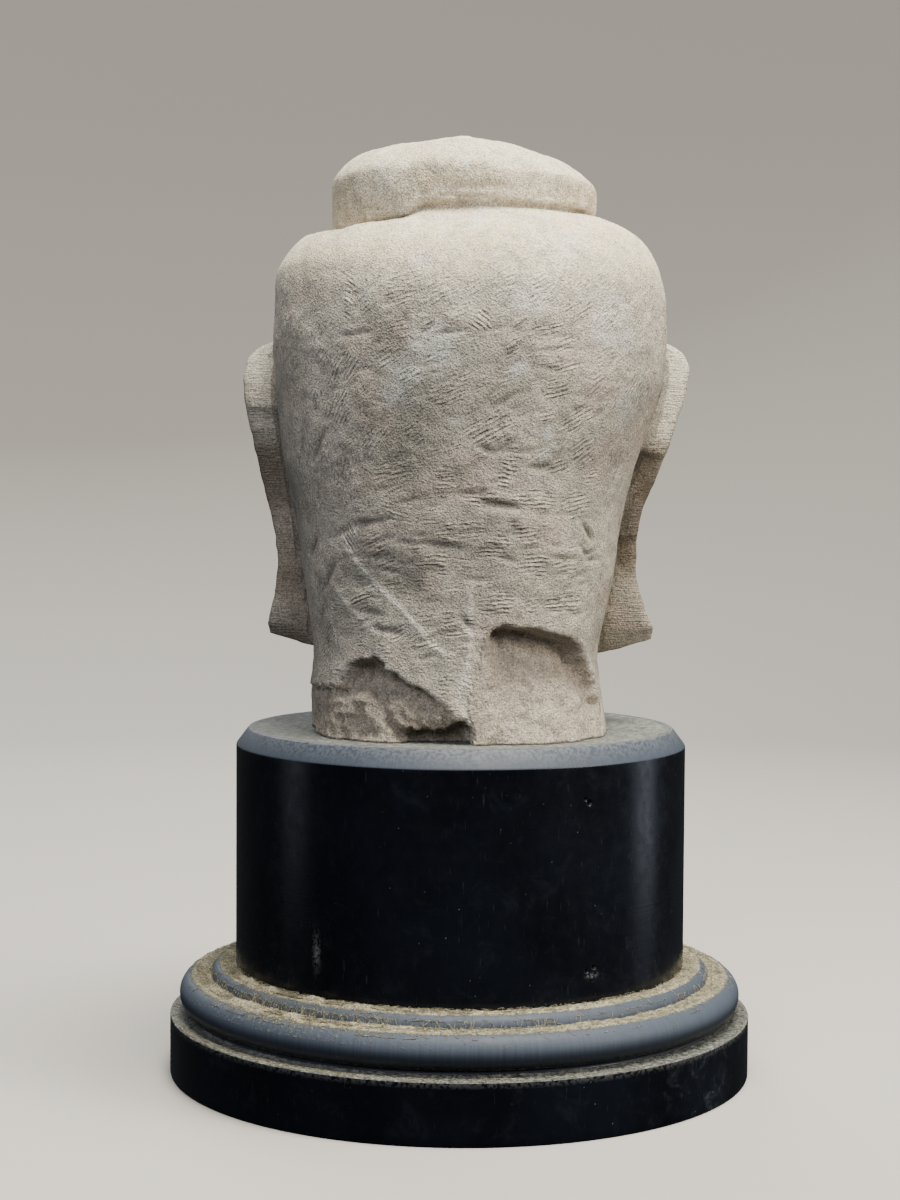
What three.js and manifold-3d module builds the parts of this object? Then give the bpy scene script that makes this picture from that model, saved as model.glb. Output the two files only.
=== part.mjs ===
// A carved sandstone head of a buddha, broken off at the neck, standing on a turned and ebonised wood plinth.
// Millimetres, +Z up. The face looks along -Y, so the roughly tooled back looks along +Y.
// The origin is the centre of the plinth's underside.
import * as THREE from "three";
import { mergeVertices } from "three/addons/utils/BufferGeometryUtils.js";
import Module from "manifold-3d";

const wasm = await Module();
wasm.setup();

// ---- Plinth: driving dimensions ----
const PLINTH_HEIGHT = 170.5;
const DRUM_RADIUS = 112;
const CHAMFER_RUN = 6.25;
const CHAMFER_DROP = 8.25;
const DISC_RADIUS = 144.5;
const DISC_HEIGHT = 29;
const FILLET_HEIGHT = 1.5;
const LOWER_TORUS = { radius: 131, height: 39.25, tube: 8.75 };
const UPPER_TORUS = { radius: 118, height: 47, tube: 6.25 };
const DRUM_FOOT = 49;
const TURNED_SIDES = 48;
const TORUS_STEPS = 5;

// ---- Head: driving dimensions. Heights are above the neck's underside ----
const HEAD_BASE = PLINTH_HEIGHT + 0.3; // the head rests on the plinth, and the two solids keep this gap
const HEAD_HEIGHT = 286.5;
const AXIS_Y = 5; // the widest part of each level lies this far behind the plinth's axis
const CHIN = 35;
const HAIRLINE = 192;
const FACE_THIRD = (HAIRLINE - CHIN) / 3; // hairline to brow, brow to nose base, nose base to chin
const NOSE_BASE = CHIN + FACE_THIRD;
const BROW = NOSE_BASE + FACE_THIRD;
const EYE = BROW - 11.5;
const MOUTH = NOSE_BASE - FACE_THIRD / 3;
const EYE_WIDTH = 32; // one fifth of the face's width, and the gap between the eyes
const HAIR_STEP = 3.5;

// Levels of the skull and neck: [height, half-width, depth behind the axis, depth before it, shift along X]
const NECK_FOOT = [0, 73, 85, 64, 1.7];
const LEVELS = [
  NECK_FOOT,
  [18, 72, 83, 62, 3],
  [38, 70, 82, 62, 3],
  [58, 72.5, 83, 66, 2],
  [81, 77, 85, 74, 1.6],
  [105, 80.5, 88, 82, 1.8],
  [125, 84.7, 90, 87, 1.5],
  [149, 90.8, 93, 90.5, -0.7],
  [172, 95, 95, 91.5, -2.8],
  [192, 96.6, 95.5, 90, -2.8],
  [208, 96.2, 94, 86.5, -3],
  [222, 94.3, 89.5, 80.5, -2.4],
  [231, 90.2, 84.5, 75, -2.8],
  [238.5, 84, 77, 69, -3.8],
  [243, 77, 70, 64, -4.5],
  [247.5, 68, 63.5, 61, -3.5],
];
// The bun above it: a low drum, marked off by a groove. [height, radius]
const BUN = [
  [250.5, 61.5],
  [253, 64.8],
  [262, 65],
  [270, 64.4],
  [275, 61.8],
  [279, 57.6],
  [281.7, 52.5],
  [283.5, 45],
];
const DOME_RISE = HEAD_HEIGHT - BUN.at(-1)[0];
// How square each level is: [height, exponent of its superellipse]
const SQUARENESS = [
  [0, 3],
  [40, 2.7],
  [120, 2.4],
  [240, 2.2],
  [250, 2],
];
// The jaw and cheeks stand out of the neck as one oval mass: [height, half-width, depth before the axis]
const FACE_LEVELS = [
  [CHIN - 2.5, 8, 56],
  [CHIN, 20, 76],
  [CHIN + 4, 31, 83],
  [CHIN + 11, 43, 86.5],
  [CHIN + 22, 56, 88.5],
  [CHIN + 37, 67, 89.5],
  [CHIN + 53, 74, 90.5],
  [CHIN + 70, 78, 91],
  [CHIN + 90, 80, 89],
  [CHIN + 125, 76, 84],
  [CHIN + 150, 60, 66],
];
const FACE_SQUARENESS = 2.3;
const JAW_BLEND = 22; // the power of the smooth union of jaw and neck: higher is crisper

// ---- Breaks at the back of the neck, as outlines in X and height ----
const RAGGED_BREAK = [
  [80, 0],
  [80, 25],
  [59, 26],
  [48, 39],
  [37, 38],
  [28, 30],
  [10, 19],
  [-3, 10],
  [-5, 0],
];
const SCOOPED_BREAK = [
  [-7, 0],
  [-3, 10],
  [-9, 34],
  [-12, 51],
  [-21, 55.5],
  [-37, 54],
  [-54, 49],
  [-59, 35],
  [-66, 14],
  [-70, 0],
];

// ---- Curves ----
const clamp = (x, low, high) => Math.min(high, Math.max(low, x));
const mix = (a, b, t) => a + (b - a) * t;
const bell = (x, width) => Math.exp(-((x / width) ** 2));
const plateau = (x, width) => Math.exp(-((x / width) ** 4));
const hood = (q) => Math.max(0, 1 - q) ** 0.8;
function smoothstep(low, high, x) {
  const t = clamp((x - low) / (high - low), 0, 1);
  return t * t * (3 - 2 * t);
}

// A curve through stations [height, value, ...] with no overshoot between them: a monotone cubic of one column.
function through(stations, column = 1) {
  const slopes = stations.slice(1).map((s, i) => (s[column] - stations[i][column]) / (s[0] - stations[i][0]));
  const tangents = stations.map((_, i) => {
    const [before, after] = [slopes[i - 1], slopes[i]];
    if (before === undefined || after === undefined) return before ?? after;
    return before * after <= 0 ? 0 : (2 * before * after) / (before + after);
  });
  return (height) => {
    const h = clamp(height, stations[0][0], stations.at(-1)[0]);
    const i = Math.max(0, stations.findLastIndex((s, k) => s[0] <= h && k < stations.length - 1));
    const span = stations[i + 1][0] - stations[i][0];
    const t = (h - stations[i][0]) / span;
    const rise = t * t * (3 - 2 * t);
    return (
      mix(stations[i][column], stations[i + 1][column], rise) +
      span * t * (1 - t) * ((1 - t) * tangents[i] - t * tangents[i + 1])
    );
  };
}

// The radius of a superellipse with the given half-axes, towards the unit direction (s, c).
const superRadius = (s, c, a, b, n) => (Math.abs(s / a) ** n + Math.abs(c / b) ** n) ** (-1 / n);

// ---- The head's outline ----
const bunRow = ([height, radius]) => [height, radius, radius, radius, 0];
const ALL_LEVELS = [...LEVELS, ...BUN.map(bunRow)];
const [halfWidth, back, front, shiftX] = [1, 2, 3, 4].map((column) => through(ALL_LEVELS, column));
const squareness = through(SQUARENESS);
const [faceHalfWidth, faceFront] = [1, 2].map((column) => through(FACE_LEVELS, column));

// The bare radius at turn (0 at the middle of the back, pi at the nose) and height, before any carving.
function shellRadius(turn, height) {
  const [s, c] = [Math.sin(turn), Math.cos(turn)];
  const depth = c > 0 ? back(height) : front(height);
  const column = superRadius(s, c, halfWidth(height), depth, squareness(height));
  if (c > 0 || height < FACE_LEVELS[0][0] || height > FACE_LEVELS.at(-1)[0]) return column;
  const face = superRadius(s, c, faceHalfWidth(height), faceFront(height), FACE_SQUARENESS);
  return (column ** JAW_BLEND + face ** JAW_BLEND) ** (1 / JAW_BLEND);
}

// ---- Carving of the face: each gives millimetres outwards at u across and h up ----
function nose(u, h) {
  const ridge = through([
    [NOSE_BASE, 20],
    [NOSE_BASE + 8, 19],
    [BROW - 12, 8],
    [BROW, 4.5],
    [BROW + 8, 0],
  ])(h);
  const width = through([
    [NOSE_BASE, 16],
    [NOSE_BASE + 14, 11],
    [BROW - 10, 8],
    [BROW, 12],
  ])(h);
  const across = 0.5 + 0.5 * Math.cos(Math.PI * Math.min(1, Math.abs(u) / width));
  const wings = 4 * bell(Math.abs(u) - 11, 4.5) * bell(h - NOSE_BASE - 5, 5);
  return (ridge * across ** 0.8 + wings) * smoothstep(NOSE_BASE - 4, NOSE_BASE, h);
}

function eyes(u, h) {
  const side = Math.abs(u);
  const brow = BROW + 7 * Math.sin(Math.PI * clamp((side - 6) / 54, 0, 1));
  const below = brow - h;
  const socket = 5 * smoothstep(-3, 9, below) * (1 - smoothstep(16, 34, below)) * plateau(side - EYE_WIDTH, 27);
  const lid = 7 * hood(((side - EYE_WIDTH) / 19) ** 2 + ((h - EYE) / 11.5) ** 2);
  return lid - socket;
}

function mouth(u, h) {
  const mound = 4 * bell(u, 28) * bell(h - MOUTH, 15);
  const upper = 4.5 * bell(h - MOUTH - 5, 4.5) * plateau(u, 22);
  const lower = 5 * bell(h - MOUTH + 6, 5) * plateau(u, 17);
  const line = MOUTH + 0.004 * u * u;
  return mound + upper + lower - 3 * bell(h - line, 2.4) * plateau(u, 25);
}

function chinAndCheeks(u, h) {
  const chin = 5 * bell(u, 17) * bell(h - CHIN - 10, 9) - 2.5 * bell(u, 15) * bell(h - CHIN - 21, 4);
  return chin + 3.5 * bell(Math.abs(u) - 38, 20) * bell(h - NOSE_BASE - 4, 22);
}

// The hair is a plain cap, a step proud of the forehead.
function hairStep(turn, h) {
  const fromNose = Math.abs(turn - Math.PI);
  return -HAIR_STEP * smoothstep(0, 3, HAIRLINE - 16 * fromNose ** 2 - h) * smoothstep(CHIN + 60, CHIN + 100, h);
}

const neckFolds = (h) => -1.6 * (bell(h - 11, 2) + bell(h - 22, 2));

// ---- Breaks: how far the stone is lost ----
// The distance from (x, y) to a closed outline, positive inside it.
function insideBy(x, y, outline) {
  let nearest = Infinity;
  let inside = false;
  outline.forEach(([ax, ay], i) => {
    const [bx, by] = outline[(i + 1) % outline.length];
    const along = clamp(((x - ax) * (bx - ax) + (y - ay) * (by - ay)) / ((bx - ax) ** 2 + (by - ay) ** 2), 0, 1);
    nearest = Math.min(nearest, Math.hypot(x - mix(ax, bx, along), y - mix(ay, by, along)));
    if (ay > y !== by > y && x < mix(ax, bx, (y - ay) / (by - ay))) inside = !inside;
  });
  return inside ? nearest : -nearest;
}
const openBelow = (outline) => outline.map(([x, h]) => [x, h === 0 ? -30 : h]);
const RAGGED_EDGE = openBelow(RAGGED_BREAK);
const SCOOPED_EDGE = openBelow(SCOOPED_BREAK);

function breakDepth(x, h) {
  const ragged = insideBy(x, h, RAGGED_EDGE);
  const undercut = 10 * (1 - smoothstep(3, 12, h)) * plateau(x - 14, 17);
  const scooped = insideBy(x, h, SCOOPED_EDGE);
  return Math.max(6 * smoothstep(0, 8, ragged) + undercut, 9 * smoothstep(0, 8, scooped));
}

// ---- The head's mesh ----
// A point of the head's surface at a turn and height.
function headPoint(turn, height) {
  const [s, c] = [Math.sin(turn), Math.cos(turn)];
  const shell = shellRadius(turn, height);
  const u = shell * s;
  let radius = shell;
  if (c < 0) {
    const facing = smoothstep(0, 0.5, -c);
    const carved = nose(u, height) + eyes(u, height) + mouth(u, height) + chinAndCheeks(u, height);
    const chinEdge = smoothstep(CHIN - 1, CHIN + 5, height);
    radius += facing * (carved * chinEdge + neckFolds(height)) + hairStep(turn, height) * smoothstep(0.2, 0.5, -c);
  } else {
    radius -= breakDepth(u, height) * smoothstep(0, 0.3, c);
  }
  return [shiftX(height) + radius * s, AXIS_Y + radius * c, HEAD_BASE + height];
}

// Values from first to last, with steps near the given size in each stretch [end, step].
function spaced(first, stretches) {
  const values = [first];
  for (const [end, step] of stretches) {
    const start = values.at(-1);
    const count = Math.round((end - start) / step);
    for (let i = 1; i <= count; i++) values.push(mix(start, end, i / count));
  }
  return values;
}

const degrees = (angle) => THREE.MathUtils.degToRad(angle);
// Turns are closest together over the face, and a little closer over the breaks than over the sides.
const TURNS = spaced(0, [
  [60, 8.6],
  [108, 12],
  [146, 7.6],
  [214, 3.8],
  [252, 7.6],
  [300, 12],
  [360, 8.6],
])
  .slice(0, -1)
  .map(degrees);
const HEIGHTS = spaced(0, [
  [5, 5],
  [CHIN - 3, 5.4],
  [CHIN + 6, 2.3],
  [EYE - 12, 3.9],
  [BROW + 10, 3.1],
  [HAIRLINE - 24, 8],
  [HAIRLINE + 4, 5.6],
  [222, 9],
  [247.5, 5.2],
  [253, 2.75],
  [270, 8.5],
  [283.5, 3.4],
]);

// Joins rings of points, each with the same count, into a closed mesh with a point at each end.
function closedRings(rings, firstPoint, lastPoint) {
  const count = rings[0].length;
  const points = [...rings.flat(), firstPoint, lastPoint];
  const [first, last] = [points.length - 2, points.length - 1];
  const faces = [];
  rings.slice(1).forEach((_, row) => {
    for (let i = 0; i < count; i++) {
      const [a, b] = [row * count + i, row * count + ((i + 1) % count)];
      const [c, d] = [a + count, b + count];
      // The diagonals mirror each other across the middle of the ring.
      faces.push(...(i < count / 2 ? [a, c, b, b, c, d] : [a, c, d, a, d, b]));
    }
  });
  const top = (rings.length - 1) * count;
  for (let i = 0; i < count; i++) {
    const next = (i + 1) % count;
    faces.push(first, i, next, last, top + next, top + i);
  }
  return { vertProperties: new Float32Array(points.flat()), triVerts: new Uint32Array(faces) };
}

function solidFromRings(...parts) {
  const made = new wasm.Manifold(new wasm.Mesh({ numProp: 3, ...closedRings(...parts) }));
  if (made.volume() <= 0) throw new Error("rings run the wrong way round");
  return made;
}

function headBody() {
  const rings = HEIGHTS.map((height) => TURNS.map((turn) => headPoint(turn, height)));
  // Two smaller rings carry the flat dome over to its middle.
  const rim = rings.at(-1);
  const dome = (share) => rim.map(([x, y, z]) => [x * share, mix(AXIS_Y, y, share), z + DOME_RISE * (1 - share ** 2)]);
  const middle = (height) => [0, AXIS_Y, HEAD_BASE + height];
  return solidFromRings([...rings, dome(0.72), dome(0.38)], middle(0), middle(HEAD_HEIGHT));
}

// ---- Ears: long slabs with a raised rim, running from the temple down to the jaw ----
// [height, how far the outer edge stands out along X], for the ear on each side of the plinth's axis
const EAR_EDGES = {
  left: [
    [44.5, 97],
    [50, 97.5],
    [60, 95.5],
    [78, 93.4],
    [92, 94.6],
    [116, 99.5],
    [140, 104.8],
    [161, 109],
    [172, 109.8],
    [181, 108.8],
    [188, 104.5],
    [193.5, 94],
  ],
  right: [
    [42.5, 96.5],
    [48, 97],
    [60, 92.4],
    [76, 88.8],
    [92, 88.8],
    [108, 91],
    [126, 98.5],
    [148, 106],
    [166, 111.5],
    [178, 113.8],
    [187, 111],
    [194, 100],
  ],
};
const EAR_ROOT = 56; // the slab's inner face, buried in the head
// Where the ear's back and front edges run along Y: [height, value]
const EAR_BACK = [
  [42, -14],
  [100, -10],
  [170, -6],
  [186, -7],
  [194, -13],
];
const EAR_FRONT = [
  [42, -39],
  [95, -38],
  [130, -42],
  [170, -48],
  [186, -45],
  [194, -33],
];
const LOBE_SLOPE = 0.27; // how steeply the lobe's flat end runs down towards the neck
const EAR_SIDES = 20;
const EAR_BOX = 6; // the power of the slab's section: higher is squarer
const EAR_CORNER = 2 ** (-1 / EAR_BOX); // how far out its corners lie, for a half-width of 1
const EAR_SLANT = 11; // how much nearer to the head the outer face is at its front edge
const RIM_WIDTH = 0.3; // the raised rim, as a share of the ear's half-width

// The hollow inside the ear's rim: millimetres lost at q (-1 front, 1 back) and a share up the ear.
function earHollow(q, share) {
  const inside = 1 - RIM_WIDTH - Math.hypot(q, Math.max(0, share - 0.62) / 0.36);
  return 5 * smoothstep(0, 0.22, inside) * smoothstep(0.3, 0.46, share);
}

function ear(side) {
  const edges = EAR_EDGES[side];
  const [bottom, top] = [edges[0][0], edges.at(-1)[0]];
  const [outer, backEdge, frontEdge] = [edges, EAR_BACK, EAR_FRONT].map((stations) => through(stations));
  const sign = side === "left" ? 1 : -1;
  const rows = spaced(bottom, [
    [bottom + 12, 6],
    [top - 24, 9],
    [top, 4],
  ]);
  const ring = (height) => {
    const share = (height - bottom) / (top - bottom);
    return Array.from({ length: EAR_SIDES }, (_, i) => {
      const angle = -sign * ((i + 0.5) / EAR_SIDES) * 2 * Math.PI;
      const scale = superRadius(Math.sin(angle), Math.cos(angle), 1, 1, EAR_BOX);
      const [p, q] = [scale * Math.cos(angle), scale * Math.sin(angle)];
      const face = outer(height) - EAR_SLANT * (0.5 - 0.5 * q) - earHollow(q, share) * smoothstep(0.8, 1, p);
      const x = mix(EAR_ROOT, face, 0.5 + (0.5 * p) / EAR_CORNER);
      const y = mix(frontEdge(height), backEdge(height), 0.5 + 0.5 * q);
      const drop = LOBE_SLOPE * (outer(height) - x) * (1 - smoothstep(0, 12, height - bottom));
      return [sign * x, y, HEAD_BASE + height - drop];
    });
  };
  const middle = (height, slope) => {
    const x = mix(EAR_ROOT, outer(height), 0.5);
    const drop = slope * (outer(height) - x);
    return [sign * x, mix(frontEdge(height), backEdge(height), 0.5), HEAD_BASE + height - drop];
  };
  return solidFromRings(rows.map(ring), middle(bottom, LOBE_SLOPE), middle(top, 0));
}

// ---- Nodes ----
function geometryOf(solid) {
  const { vertProperties, numProp, triVerts } = solid.getMesh();
  const positions = Float32Array.from(
    { length: (vertProperties.length / numProp) * 3 },
    (_, i) => vertProperties[Math.floor(i / 3) * numProp + (i % 3)],
  );
  const geometry = new THREE.BufferGeometry();
  geometry.setAttribute("position", new THREE.BufferAttribute(positions, 3));
  geometry.setIndex(new THREE.BufferAttribute(Uint32Array.from(triVerts), 1));
  geometry.computeVertexNormals();
  return geometry;
}

function stoneHead() {
  const solid = headBody().add(ear("left")).add(ear("right"));
  const stone = new THREE.MeshStandardMaterial({ color: 0xa79c8e, roughness: 0.95, metalness: 0 });
  const mesh = new THREE.Mesh(geometryOf(solid), stone);
  mesh.name = "stone_head";
  return mesh;
}

// The points of a turned half-round moulding, from a start to an end angle in degrees.
function torusPoints({ radius, height, tube }, from, to) {
  return Array.from({ length: TORUS_STEPS + 1 }, (_, i) => {
    const angle = degrees(mix(from, to, i / TORUS_STEPS));
    return [radius + tube * Math.cos(angle), height + tube * Math.sin(angle)];
  });
}

function plinth() {
  const crease = DRUM_RADIUS + UPPER_TORUS.tube;
  const profile = [
    [0, 0],
    [DISC_RADIUS, 0],
    [DISC_RADIUS, DISC_HEIGHT],
    [LOWER_TORUS.radius + 4, DISC_HEIGHT],
    [LOWER_TORUS.radius + 4, DISC_HEIGHT + FILLET_HEIGHT],
    ...torusPoints(LOWER_TORUS, -62, 90),
    [crease + 5.5, UPPER_TORUS.height - 2.5],
    ...torusPoints(UPPER_TORUS, -10, 125),
    [DRUM_RADIUS, DRUM_FOOT],
    [DRUM_RADIUS, PLINTH_HEIGHT - CHAMFER_DROP],
    [DRUM_RADIUS - CHAMFER_RUN, PLINTH_HEIGHT],
    [0, PLINTH_HEIGHT],
  ].map(([radius, height]) => new THREE.Vector2(radius, height));
  const turned = new THREE.LatheGeometry(profile, TURNED_SIDES);
  turned.deleteAttribute("normal");
  turned.deleteAttribute("uv");
  turned.rotateX(Math.PI / 2);
  const wood = new THREE.MeshStandardMaterial({ color: 0x0c0d10, roughness: 0.35, metalness: 0 });
  const mesh = new THREE.Mesh(mergeVertices(turned, 1e-3), wood);
  mesh.name = "wood_plinth";
  return mesh;
}

const statue = new THREE.Group();
statue.add(plinth(), stoneHead());
export default statue;
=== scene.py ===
"""Sandstone head of a buddha, broken off at the neck, on a turned plinth of ebonised wood.

Laid out as an add-on and run as a script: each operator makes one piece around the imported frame, and
main() calls them in order. Shapes are worked out in millimetres and put into the meshes in metres. The
face looks along -Y and the roughly tooled back along +Y, +X is the head's left side, and heights on the
head count up from its neck.
"""

import math
from functools import partial

import bpy
import numpy as np
from bpy.props import FloatProperty, FloatVectorProperty, IntProperty, PointerProperty
from mathutils import Euler, Matrix, Vector


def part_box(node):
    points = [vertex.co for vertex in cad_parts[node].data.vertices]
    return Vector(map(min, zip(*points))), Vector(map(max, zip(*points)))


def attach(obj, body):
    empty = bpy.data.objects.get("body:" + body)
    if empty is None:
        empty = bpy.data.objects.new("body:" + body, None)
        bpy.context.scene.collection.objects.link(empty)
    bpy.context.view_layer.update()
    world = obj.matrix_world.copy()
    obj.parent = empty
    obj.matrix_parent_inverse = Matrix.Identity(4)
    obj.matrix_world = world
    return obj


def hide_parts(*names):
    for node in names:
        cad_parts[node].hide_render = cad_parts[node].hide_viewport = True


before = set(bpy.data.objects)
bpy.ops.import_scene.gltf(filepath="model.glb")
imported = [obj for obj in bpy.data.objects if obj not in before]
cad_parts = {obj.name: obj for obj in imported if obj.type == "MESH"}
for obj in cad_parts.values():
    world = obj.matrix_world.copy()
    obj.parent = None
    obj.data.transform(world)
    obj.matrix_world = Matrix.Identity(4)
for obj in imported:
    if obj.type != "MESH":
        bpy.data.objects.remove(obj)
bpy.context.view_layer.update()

bl_info = {
    "name": "Sandstone buddha head on a turned plinth",
    "version": (1, 0, 0),
    "blender": (4, 5, 0),
    "location": "View3D > Sidebar > Stone head",
    "description": "Carves the head, turns its plinth, lays dust and lint on it and sets up the studio",
    "category": "Add Mesh",
}

MM = 0.001
(_, _, HEAD_BASE), (_, _, HEAD_TOP) = (np.array(corner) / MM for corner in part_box("stone_head"))
HEAD_HEIGHT = HEAD_TOP - HEAD_BASE
FOOT_RADIUS, _, PLINTH_TOP = np.array(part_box("wood_plinth")[1]) / MM

# ---- Proportions of the head, in millimetres ----
AXIS_Y = 5  # the widest part of each level lies this far behind the plinth's axis
CHIN = 35
HAIRLINE = 192
FACE_THIRD = (HAIRLINE - CHIN) / 3  # hairline to brow, brow to nose base, nose base to chin
NOSE_BASE = CHIN + FACE_THIRD
BROW = NOSE_BASE + FACE_THIRD
EYE = BROW - 11.5
MOUTH = NOSE_BASE - FACE_THIRD / 3
EYE_WIDTH = 32
HAIR_STEP = 3.5
SURFACE_RADIUS = 88  # turns millimetres round the back of the head into degrees and back

# Levels of the skull and neck: height, half-width, depth behind the axis, depth before it, shift along X
LEVELS = [
    (0, 73, 85, 64, 1.7),
    (18, 72, 83, 62, 3),
    (38, 70, 82, 62, 3),
    (58, 72.5, 83, 66, 2),
    (81, 77, 85, 74, 1.6),
    (105, 80.5, 88, 82, 1.8),
    (125, 84.7, 90, 87, 1.5),
    (149, 90.8, 93, 90.5, -0.7),
    (172, 95, 95, 91.5, -2.8),
    (192, 96.6, 95.5, 90, -2.8),
    (208, 96.2, 94, 86.5, -3),
    (222, 94.3, 89.5, 80.5, -2.4),
    (231, 90.2, 84.5, 75, -2.8),
    (238.5, 84, 77, 69, -3.8),
    (243, 77, 70, 64, -4.5),
    (247.5, 68, 63.5, 61, -3.5),
]
# The bun above it, a low drum marked off by a groove: height, radius
BUN = [
    (250.5, 61.5), (253, 64.8), (262, 65), (267, 64.6), (270.5, 63), (274, 60), (277.5, 56),
    (280.5, 51.5), (283.5, 45),
]  # fmt: skip
BUN_TILT = 0.1  # how much its top falls to the right as seen from behind
BUN_WIDEST = 262  # up to here its wall stands on the groove, above it its own levels hold
# The groove under the bun: turn from the back in degrees, height. On the left it drops into the shoulder
GROOVE = [
    (-180, 250), (-85, 251.5), (-25, 250), (0, 249.5), (18, 248.7), (27, 243.9), (42, 242.2), (50, 240),
    (75, 241), (105, 247), (140, 250), (180, 250),
]  # fmt: skip
BUN_WALL = [(0, 61.8), (1.2, 63), (3, 64.6), (14, 65)]  # height above the groove, radius
# How square each level is: height, power of its superellipse
SQUARENESS = [(0, 3), (40, 2.7), (120, 2.4), (240, 2.2), (250, 2)]
# The jaw and cheeks stand out of the neck as one oval mass: height, half-width, depth before the axis
FACE_LEVELS = [
    (CHIN - 2.5, 8, 56),
    (CHIN, 20, 76),
    (CHIN + 4, 31, 83),
    (CHIN + 11, 43, 86.5),
    (CHIN + 22, 56, 88.5),
    (CHIN + 37, 67, 89.5),
    (CHIN + 53, 74, 90.5),
    (CHIN + 70, 78, 91),
    (CHIN + 90, 80, 89),
    (CHIN + 125, 76, 84),
    (CHIN + 150, 60, 66),
]
FACE_SQUARENESS = 2.3
JAW_BLEND = 22  # the power of the smooth union of jaw and neck
DOME_RINGS = 12
# Heights between which the stone goes from tooled to smooth, and from grey to the pale top, which is partly
# paler stone and partly painted light from above
TOOLED_TO_SMOOTH = (210, 221)
GREY_TO_PALE = (206, 232)
BREAK_DEPTH = 0.010  # the depth, in metres, that the tables of the breaks are drawn for

# Outlines of the two breaks at the back of the neck: X and height
RAGGED_BREAK = [
    (90, -30), (90, 23.5), (63, 23.5), (59, 26.8), (54, 33), (52.5, 35), (45, 38.9), (38.9, 39.8),
    (36.2, 37.8), (35.4, 35.1), (31.9, 33.5), (28.4, 31.1), (25.8, 29), (18.5, 25.3), (14.2, 22.4),
    (7.3, 17.3), (4.8, 14.3), (3.5, 11.5), (-1.2, 11.6), (-4.3, 7.5), (-5.4, 1), (-5.4, -30),
]  # fmt: skip
SCOOPED_BREAK = [
    (-6.2, -30), (-6, 1), (-5.3, 9.6), (-2.6, 16.2), (-3.3, 20.9), (-6.4, 28.5), (-6.9, 36), (-9, 45),
    (-11.9, 50), (-15.8, 54), (-20.8, 55.3), (-24.7, 54.5), (-32.7, 53.9), (-38.8, 52.5), (-47, 50.2),
    (-52.9, 47.6), (-56.2, 45.3), (-57.3, 41), (-60.5, 34.7), (-63.5, 29.6), (-65, 22), (-67, 16),
    (-67, -30),
]  # fmt: skip
# Depth of each break by height: one is hollowed under its peak, the other under its arched top
RAGGED_DEPTH = [(0, 5.5), (9, 5.2), (14, 4.2), (20, 5), (25, 6.2), (31, 9.5), (36, 8.5), (40, 7)]
SCOOPED_DEPTH = [(0, 3.2), (10, 4), (24, 6.5), (36, 10.5), (44, 12.5), (56, 11)]

# Single chisel cuts: turn and height of each end (degrees and mm), width and depth (mm)
GOUGES = [
    (-5.9, 137, -9.6, 134.4, 1.7, 1.3), (-9.6, 134.8, -20.3, 135.4, 1.1, 0.5),
    (-20.6, 128.2, -25.8, 128.3, 1.9, 1.5), (-25.8, 128.3, -27, 125, 1.2, 0.8),
    (-0.3, 115.7, -7.6, 116.7, 1.8, 1.1), (-7.6, 112.1, -17.2, 109.9, 2.3, 2.0),
    (42, 95, 32.6, 101.2, 1.7, 1.3), (32.6, 101.2, 22.7, 103.2, 1.9, 1.5),
    (-41, 101.7, -46, 94.2, 1.9, 1.6), (-40.5, 91.5, -43.8, 87.2, 1.5, 1.1),
    (9.9, 92.8, 0.2, 91.5, 2.3, 1.4), (52.5, 144.5, 55, 132.8, 3.6, 1.1),
    (42.7, 144.1, 47.7, 131.3, 2.7, 1.7), (52.4, 94.7, 57.7, 86.5, 2.5, 1.9),
    (42, 83.3, 49.4, 71.2, 2.7, 1.7), (49.8, 64.1, 55.9, 50.3, 3, 1.0), (69.4, 160, 69.9, 143, 3, 1.3),
    (27.8, 86.5, 22.4, 87.1, 2.1, 1.3), (33.4, 74.8, 29.1, 76.8, 1.7, 1.1),
    (33.6, 72, 27.4, 74.5, 1.7, 1.1), (30.3, 61.4, 24.5, 60.3, 1.7, 1.2),
    (26.2, 53.7, 19, 51.9, 2.1, 1.4), (-2.9, 76.2, -10.1, 76.9, 1.3, 0.9),
    (-13.6, 86.8, -16.7, 85.2, 1.7, 1.2), (-28.8, 86.8, -37.4, 86.1, 1.6, 1.0),
    (-2.8, 57, -4.6, 54, 2.1, 1.4), (5.7, 257.8, -19.3, 258.5, 1.8, 0.7),
    (8, 253.5, -14, 253.2, 1.6, 0.8), (-29, 229.5, -34, 224.9, 2.6, 0.9),
]  # fmt: skip
# Raised arrises left between chisel runs: turn and height along each
ARRISES = [
    [(36.6, 94), (31.4, 81.8), (24.4, 70.8), (17.5, 62), (10, 49.9), (3.1, 41)],
    [(40.8, 70.2), (34, 59.9), (27.2, 52.8)],
    [(-3.6, 71.4), (-4.8, 41), (-0.9, 18.5), (-2.6, 13.8), (-4.4, 0.6)],
]
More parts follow.
